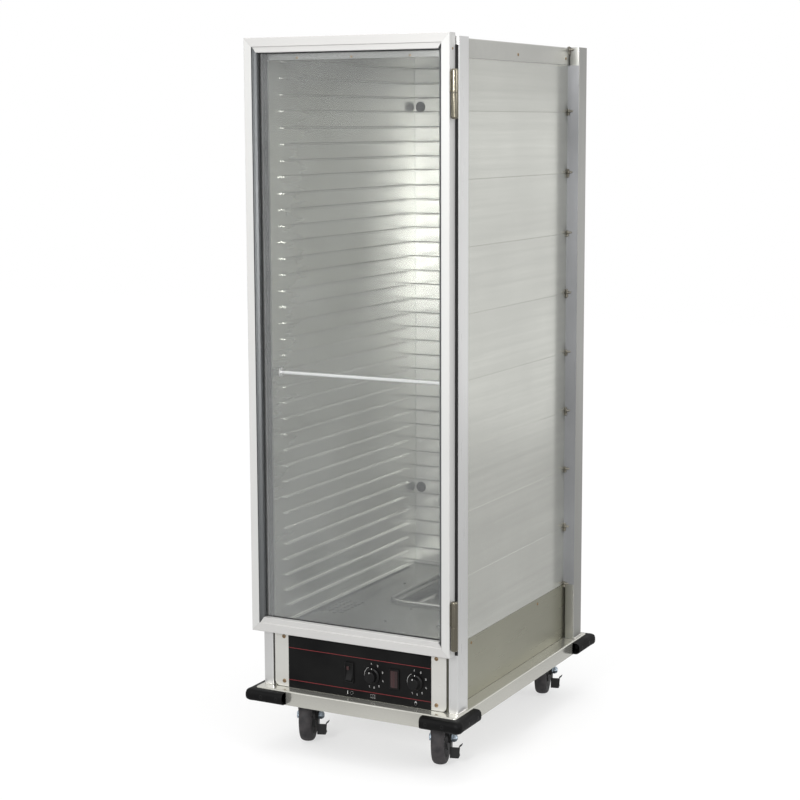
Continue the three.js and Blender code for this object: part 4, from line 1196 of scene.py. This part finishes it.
def add_symbols(bm, y):
    """Plain pictograms below the controls: on and off, heat and a water drop."""
    z = base_high.z + 0.011
    half = 0.0006
    x = middle_x("switch_housing")
    add_stroke(bm, (x - 0.006, z - 0.0035), (x - 0.006, z + 0.0035), half, y)
    circle = list(arc((x + 0.005, z), 0.0034, 0, 360, 20))
    for start, end in zip(circle, circle[1:]):
        add_stroke(bm, start, end, half, y)
    x = middle_x("heat_knob")
    for offset in (-0.005, 0, 0.005):
        wave = [(x + offset + 0.001 * math.sin(t * 0.9), z - 0.004 + t * 0.001) for t in range(9)]
        for start, end in zip(wave, wave[1:]):
            add_stroke(bm, start, end, half, y)
    x = middle_x("humidity_knob")
    drop = list(arc((x, z - 0.001), 0.003, -205, 25, 14)) + [(x, z + 0.005)]
    for start, end in zip(drop, drop[1:] + drop[:1]):
        add_stroke(bm, start, end, half, y)


def build_controls():
    build_knob("heat_knob", "heat_control", "heat_dial")
    build_knob("humidity_knob", "humidity_control", "humidity_dial")
    build_switch()
    build_indicator()


def build_knob(node, body, joint):
    """A fluted black knob with a raised finger grip and a white pointer line."""
    low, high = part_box(node)
    centre = (low + high) / 2
    centre.y = 0
    radius = (high.x - low.x) / 2
    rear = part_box("panel_label")[0].y - 0.0004
    bm = bmesh.new()

    def flute(angle, r, h):
        if r > radius * 0.62 and h > 0.0052:
            return r * (1 - 0.018 * (1 + math.cos(24 * angle))), h
        return r, h

    profile = [
        (0, -0.0018), (0.003, -0.0018), (0.003, 0), (radius - 0.0008, 0), (radius, 0.0008), (radius, 0.0034),
        (radius - 0.001, 0.0046), (radius * 0.80, 0.0054), (radius * 0.76, 0.0066), (radius * 0.72, 0.0146),
        (radius * 0.69, 0.0162), (radius * 0.6, 0.0168), (radius * 0.3, 0.0166), (0, 0.0164),
    ]
    add_lathe(bm, profile, (centre.x, rear, centre.z), -Y, 96, flute)
    finish_piece(f"{joint}_knob", bm, BLACK_PLASTIC, body, (node,), angle=40)
    pointer = bmesh.new()
    half = 0.0007
    for inner, outer, depth in ((0.0092, 0.0128, 0.0171), (0.0152, 0.019, 0.0051)):
        start, end = ((centre.x, centre.z + inner + half), (centre.x, centre.z + outer - half))
        add_stroke(pointer, start, end, half, rear - depth)
    finish_piece(f"{joint}_pointer", pointer, INK, body, ())


def build_switch():
    low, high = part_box("switch_housing")
    front = low.y
    bm = bmesh.new()
    label_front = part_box("panel_label")[0].y
    rows = (
        (0, label_front - 0.0001, 0.002), (0, front + 0.001, 0.002), (0.0008, front, 0.0016),
    )
    loops = [inset_loop(low, high, *row, axis="Y") for row in rows]
    for side, level, y, radius in (
        (0.0028, 0.0035, front + 0.0002, 0.0014), (0.0034, 0.0041, front + 0.001, 0.0012),
        (0.0034, 0.0041, front + 0.012, 0.0012),
    ):
        points = rounded_rectangle((low.x + side, low.z + level), (high.x - side, high.z - level), radius, 4)
        loops.append([(x, y, z) for x, z in points])
    add_loft(bm, loops)
    finish_piece("switch_bezel", bm, BLACK_PLASTIC, "module", ("switch_housing",), angle=40)
    rocker_low, rocker_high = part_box("power_rocker")
    pivot = Vector(JOINTS["power_switch"]["pos_m"])
    tilt = math.radians(-8)
    half = 0.019
    side = []
    for step in range(13):
        share = step / 12 * 2 - 1
        side.append((-0.001 - 0.0034 * share * share, share * half))
    side += [(0.0025, half - 0.0006), (0.0036, 0), (0.0025, -half + 0.0006)]
    turned = [
        (pivot.y + y * math.cos(tilt) - z * math.sin(tilt), pivot.z + y * math.sin(tilt) + z * math.cos(tilt))
        for y, z in side
    ]
    rocker = bmesh.new()
    add_prism(rocker, turned, "X", rocker_low.x, rocker_high.x)
    finish_piece(
        "rocker_cap", rocker, BLACK_PLASTIC, "rocker", ("power_rocker",), bevel=0.0005,
    )
    lamp = bmesh.new()
    place = Vector((pivot.x - 0.003, pivot.y - 0.0034, pivot.z + 0.0105))
    outline = rounded_rectangle(
        (place.x - 0.0032, place.z - 0.0042), (place.x + 0.0032, place.z + 0.0042), 0.001, 4,
    )
    add_prism(lamp, outline, "Y", place.y - 0.0004, place.y + 0.0016)
    finish_piece("rocker_lamp", lamp, LENS, "rocker", (), bevel=0.0003)


def build_indicator():
    low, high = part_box("heat_indicator")
    front = low.y
    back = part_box("panel_label")[0].y - 0.0001

    rows = (
        (0, back, 0.002), (0, front + 0.001, 0.002), (0.0008, front + 0.0002, 0.0016),
        (0.003, front + 0.0004, 0.0014), (0.0034, front + 0.0012, 0.001), (0.0034, front + 0.003, 0.001),
    )
    bezel = bmesh.new()
    add_loft(bezel, [inset_loop(low, high, *row, axis="Y") for row in rows])
    finish_piece(
        "indicator_bezel", bezel, BLACK_PLASTIC, "module", ("heat_indicator",), angle=40,
    )
    lens = bmesh.new()
    centre_x = (low.x + high.x) / 2
    section = []
    for step in range(11):
        share = step / 10 * 2 - 1
        section.append((centre_x + share * 0.0092, front + 0.0008 - 0.0012 * (1 - share * share)))
    section += [(centre_x + 0.0092, front + 0.0024), (centre_x - 0.0092, front + 0.0024)]
    add_prism(lens, section, "Z", low.z + 0.0038, high.z - 0.0038)
    finish_piece("indicator_lens", lens, LENS, "module", (), bevel=0.0004)


def dress_module():
    """Materials for the plain parts that keep their CAD shapes: the module's insides and the rear panel."""
    looks = {
        "rear_lower_panel": REAR_METAL,
        "module_tray": STAINLESS, "heating_element": DARK_STEEL,
        "fan_motor": DARK_STEEL, "fan_impeller": STAINLESS,
        "heat_thermostat": BLACK_PLASTIC, "humidity_thermostat": BLACK_PLASTIC, "power_inlet": BLACK_PLASTIC,
    }
    for node, material in looks.items():
        mesh = frame["nodes"][node].data
        mesh.materials.clear()
        mesh.materials.append(material)


# Casters

def caster_axes(name):
    joint = JOINTS[f"wheel_spin_{name}"]
    axle = Vector(joint["axis"]).normalized()
    return Vector(joint["pos_m"]), axle, Z.cross(axle).normalized()


def build_caster(name):
    build_caster_plate(name)
    build_fork(name)
    build_wheel(name)
    build_pedal(name)


def build_caster_plate(name):
    low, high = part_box(f"caster_plate_{name}")
    kingpin = Vector(JOINTS[f"caster_swivel_{name}"]["pos_m"])
    thick = 0.0035
    bm = bmesh.new()
    outline = rounded_rectangle((low.x, low.y), (high.x, high.y), 0.006, 4)
    add_prism(bm, outline, "Z", high.z - thick, high.z)
    bottom = low.z
    rivet = [
        (0, bottom + 0.0008), (0.004, bottom), (0.0095, bottom + 0.0006), (0.01, bottom + 0.003),
        (0.006, bottom + 0.0034), (0.006, high.z - 0.001), (0, high.z - 0.001),
    ]
    add_lathe(bm, rivet, (kingpin.x, kingpin.y, 0), Z, 28)
    finish_piece(f"top_plate_{name}", bm, ZINC, "cabinet", (f"caster_plate_{name}",), bevel=0.0004)
    bolts = bmesh.new()
    bolt = [
        (0, -0.0065), (0.0055, -0.0065), (0.0065, -0.0055), (0.0065, -0.0014),
        (0.0088, -0.0012), (0.0088, 0.0002), (0, 0.0002),
    ]
    for sx in (-1, 1):
        for sy in (-1, 1):
            add_lathe(bolts, bolt, (kingpin.x + sx * 0.0355, kingpin.y + sy * 0.041, high.z - thick), Z, 6)
    finish_piece(f"plate_bolts_{name}", bolts, ZINC, "cabinet", (), bevel=0.0003)


def build_fork(name):
    centre, axle, trail = caster_axes(name)
    kingpin = Vector(JOINTS[f"caster_swivel_{name}"]["pos_m"])
    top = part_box(f"caster_fork_{name}")[1].z
    bm = bmesh.new()
    race = [
        (0.0068, 0.1425), (0.02, 0.142), (0.026, 0.1445), (0.0292, 0.148), (0.03, 0.1505),
        (0.0292, top - 0.0006), (0.028, top), (0.0068, top), (0.0068, 0.1425),
    ]
    add_lathe(bm, race, (kingpin.x, kingpin.y, 0), Z, 48)
    leg = [(-0.021, 0.1485), (-0.0215, 0.135)]
    leg += [(-0.0215 + 0.0445 * t, 0.135 - 0.062 * t ** 1.35) for t in (0.2, 0.4, 0.6, 0.8)]
    leg += arc((0.038, centre.z), 0.0135, 172, 368, 14)
    leg += [(0.049, 0.088), (0.044, 0.112), (0.034, 0.134), (0.026, 0.1485)]
    for side in (-1, 1):
        rings = []
        for depth, inset in ((0.019, 0.0), (0.0192, 0.0), (0.0218, 0.0), (0.0225, 0.0008)):
            ring = []
            mid = Vector((0.012, 0.105))
            for t, z in leg:
                point = Vector((t, z))
                point = point + (mid - point).normalized() * inset
                ring.append(Vector((kingpin.x, kingpin.y, point.y)) + trail * point.x + axle * side * depth)
            rings.append(ring)
        add_loft(bm, rings)
        bridge = [(-0.0185, 0.1425), (0.024, 0.1425), (0.024, 0.149), (-0.0185, 0.149)]
        add_loft(bm, [
            [Vector((kingpin.x, kingpin.y, z)) + trail * t + axle * side * depth for t, z in bridge]
            for depth in (0.012, 0.0205)
        ])
    finish_piece(
        f"fork_{name}", bm, DARK_STEEL, f"swivel_{name}", (f"caster_fork_{name}",),
        bevel=0.0007, angle=40,
    )
    steel = bmesh.new()
    pin = [(0, -0.0278), (0.006, -0.0278), (0.006, 0.0372), (0.005, 0.0386), (0, 0.0386)]
    bolt_head = [
        (0, -0.0284), (0.0086, -0.0284), (0.0095, -0.0274), (0.0095, -0.0232),
        (0.0118, -0.023), (0.0118, -0.0226), (0, -0.0226),
    ]
    nut = [
        (0.0061, 0.0257), (0.0112, 0.0257), (0.0112, 0.0268), (0.0098, 0.027), (0.0098, 0.0332),
        (0.0086, 0.0342), (0.0084, 0.0362), (0.0074, 0.0372), (0.0061, 0.0372), (0.0061, 0.0257),
    ]
    add_lathe(steel, pin, centre, axle, 28)
    add_lathe(steel, bolt_head, centre, axle, 6)
    add_lathe(steel, nut, centre, axle, 6)
    finish_piece(f"axle_{name}", steel, ZINC, f"swivel_{name}", (), bevel=0.0004)


def build_wheel(name):
    centre, axle, trail = caster_axes(name)
    bm = bmesh.new()
    radius = 0.0633
    profile = [(0.0462, -0.0142), (0.0478, -0.0152), (0.0555, -0.0157)]
    profile += [
        (0.0555 + 0.0078 * math.sin(math.radians(a)) ** 0.9, -0.0157 * math.cos(math.radians(a)) ** 0.9)
        for a in (15, 30, 45, 60, 72, 82)
    ]
    profile += [(radius, 0)]
    profile += [(r, -h) for r, h in reversed(profile[:-1])]
    profile += [(0.0462, -0.0142)]
    add_lathe(bm, profile, centre, axle, 72)
    finish_piece(
        f"tread_{name}", bm, TREAD, f"wheel_{name}", (f"caster_wheel_{name}",), angle=50,
    )
    core = bmesh.new()
    half = [
        (0.0063, 0.018), (0.0125, 0.018), (0.0138, 0.0172), (0.0145, 0.011), (0.0175, 0.0088),
        (0.041, 0.0088), (0.0438, 0.0108), (0.0452, 0.0138), (0.0468, 0.0146),
    ]
    add_lathe(core, [(r, -h) for r, h in half] + half[::-1] + [(0.0063, -0.018)], centre, axle, 60)
    for number in range(6):
        turn = 2 * math.pi * number / 6
        along = trail * math.cos(turn) + Z * math.sin(turn)
        across = axle.cross(along)
        for side in (-1, 1):
            outline = ((0.0135, -0.0015), (0.0432, -0.0013), (0.0432, 0.0013), (0.0135, 0.0015))
            rib = [along * r + across * w for r, w in outline]
            add_loft(core, [[centre + point + axle * side * h for point in rib] for h in (0.008, 0.0128)])
    finish_piece(f"hub_{name}", core, HUB, f"wheel_{name}", (), bevel=0.0004, angle=40)


def build_pedal(name):
    """A pressed pedal on the axle outside the fork: a hanger, a folded face and a turned-up lip."""
    centre, axle, trail = caster_axes(name)
    inner, outer, reach = 0.0229, 0.0253, 0.0473

    def place(across, along, rise):
        return centre + axle * across + trail * along + Z * rise

    bm = bmesh.new()
    hanger = list(arc((0, 0), 0.012, 0, 180, 12)) + [
        (-0.0178, -0.016), (-0.0172, -0.042), (-0.014, -0.0438),
        (0.004, -0.0438), (0.0062, -0.0415), (0.011, -0.016),
    ]
    add_loft(bm, [[place(depth, a, b) for a, b in hanger] for depth in (inner, outer)])
    face = [
        (inner, -0.017), (reach, -0.017), (reach - 0.0012, -0.031), (reach - 0.003, -0.0425),
        (reach - 0.0048, -0.0438), (inner, -0.0438),
    ]
    add_loft(bm, [[place(a, along, b) for a, b in face] for along in (-0.018, -0.0157)])
    shelf = [(inner, -0.0438), (reach - 0.0035, -0.0438), (reach - 0.0035, -0.0416), (inner, -0.0416)]
    add_loft(bm, [[place(a, along, b) for a, b in shelf] for along in (-0.0176, 0.0036)])
    outside = [(-0.0172, -0.043), (0.0026, -0.043), (-0.0172, -0.02)]
    add_loft(bm, [[place(reach - inset, a, b) for a, b in outside] for inset in (0.0048, 0.0026)])
    lip = [
        (reach - 0.0025, -0.0178), (reach + 0.002, -0.0142), (reach + 0.005, -0.0113),
        (reach + 0.0043, -0.0101), (reach + 0.001, -0.013), (reach - 0.0035, -0.0165),
    ]
    add_loft(bm, [[place(a, along, b) for a, b in lip] for along in (-0.018, -0.0025)])
    finish_piece(
        f"pedal_{name}", bm, DARK_STEEL, f"brake_{name}", (f"brake_pedal_{name}",),
        bevel=0.0006, angle=40,
    )


set_camera()
set_stage()
build_base()
build_posts()
build_walls()
build_welds()
build_deck()
build_water_pan()
build_crossbar()
build_door()
build_hinges()
build_control_panel()
build_label()
build_controls()
dress_module()
for corner_name in CORNERS:
    build_caster(corner_name)
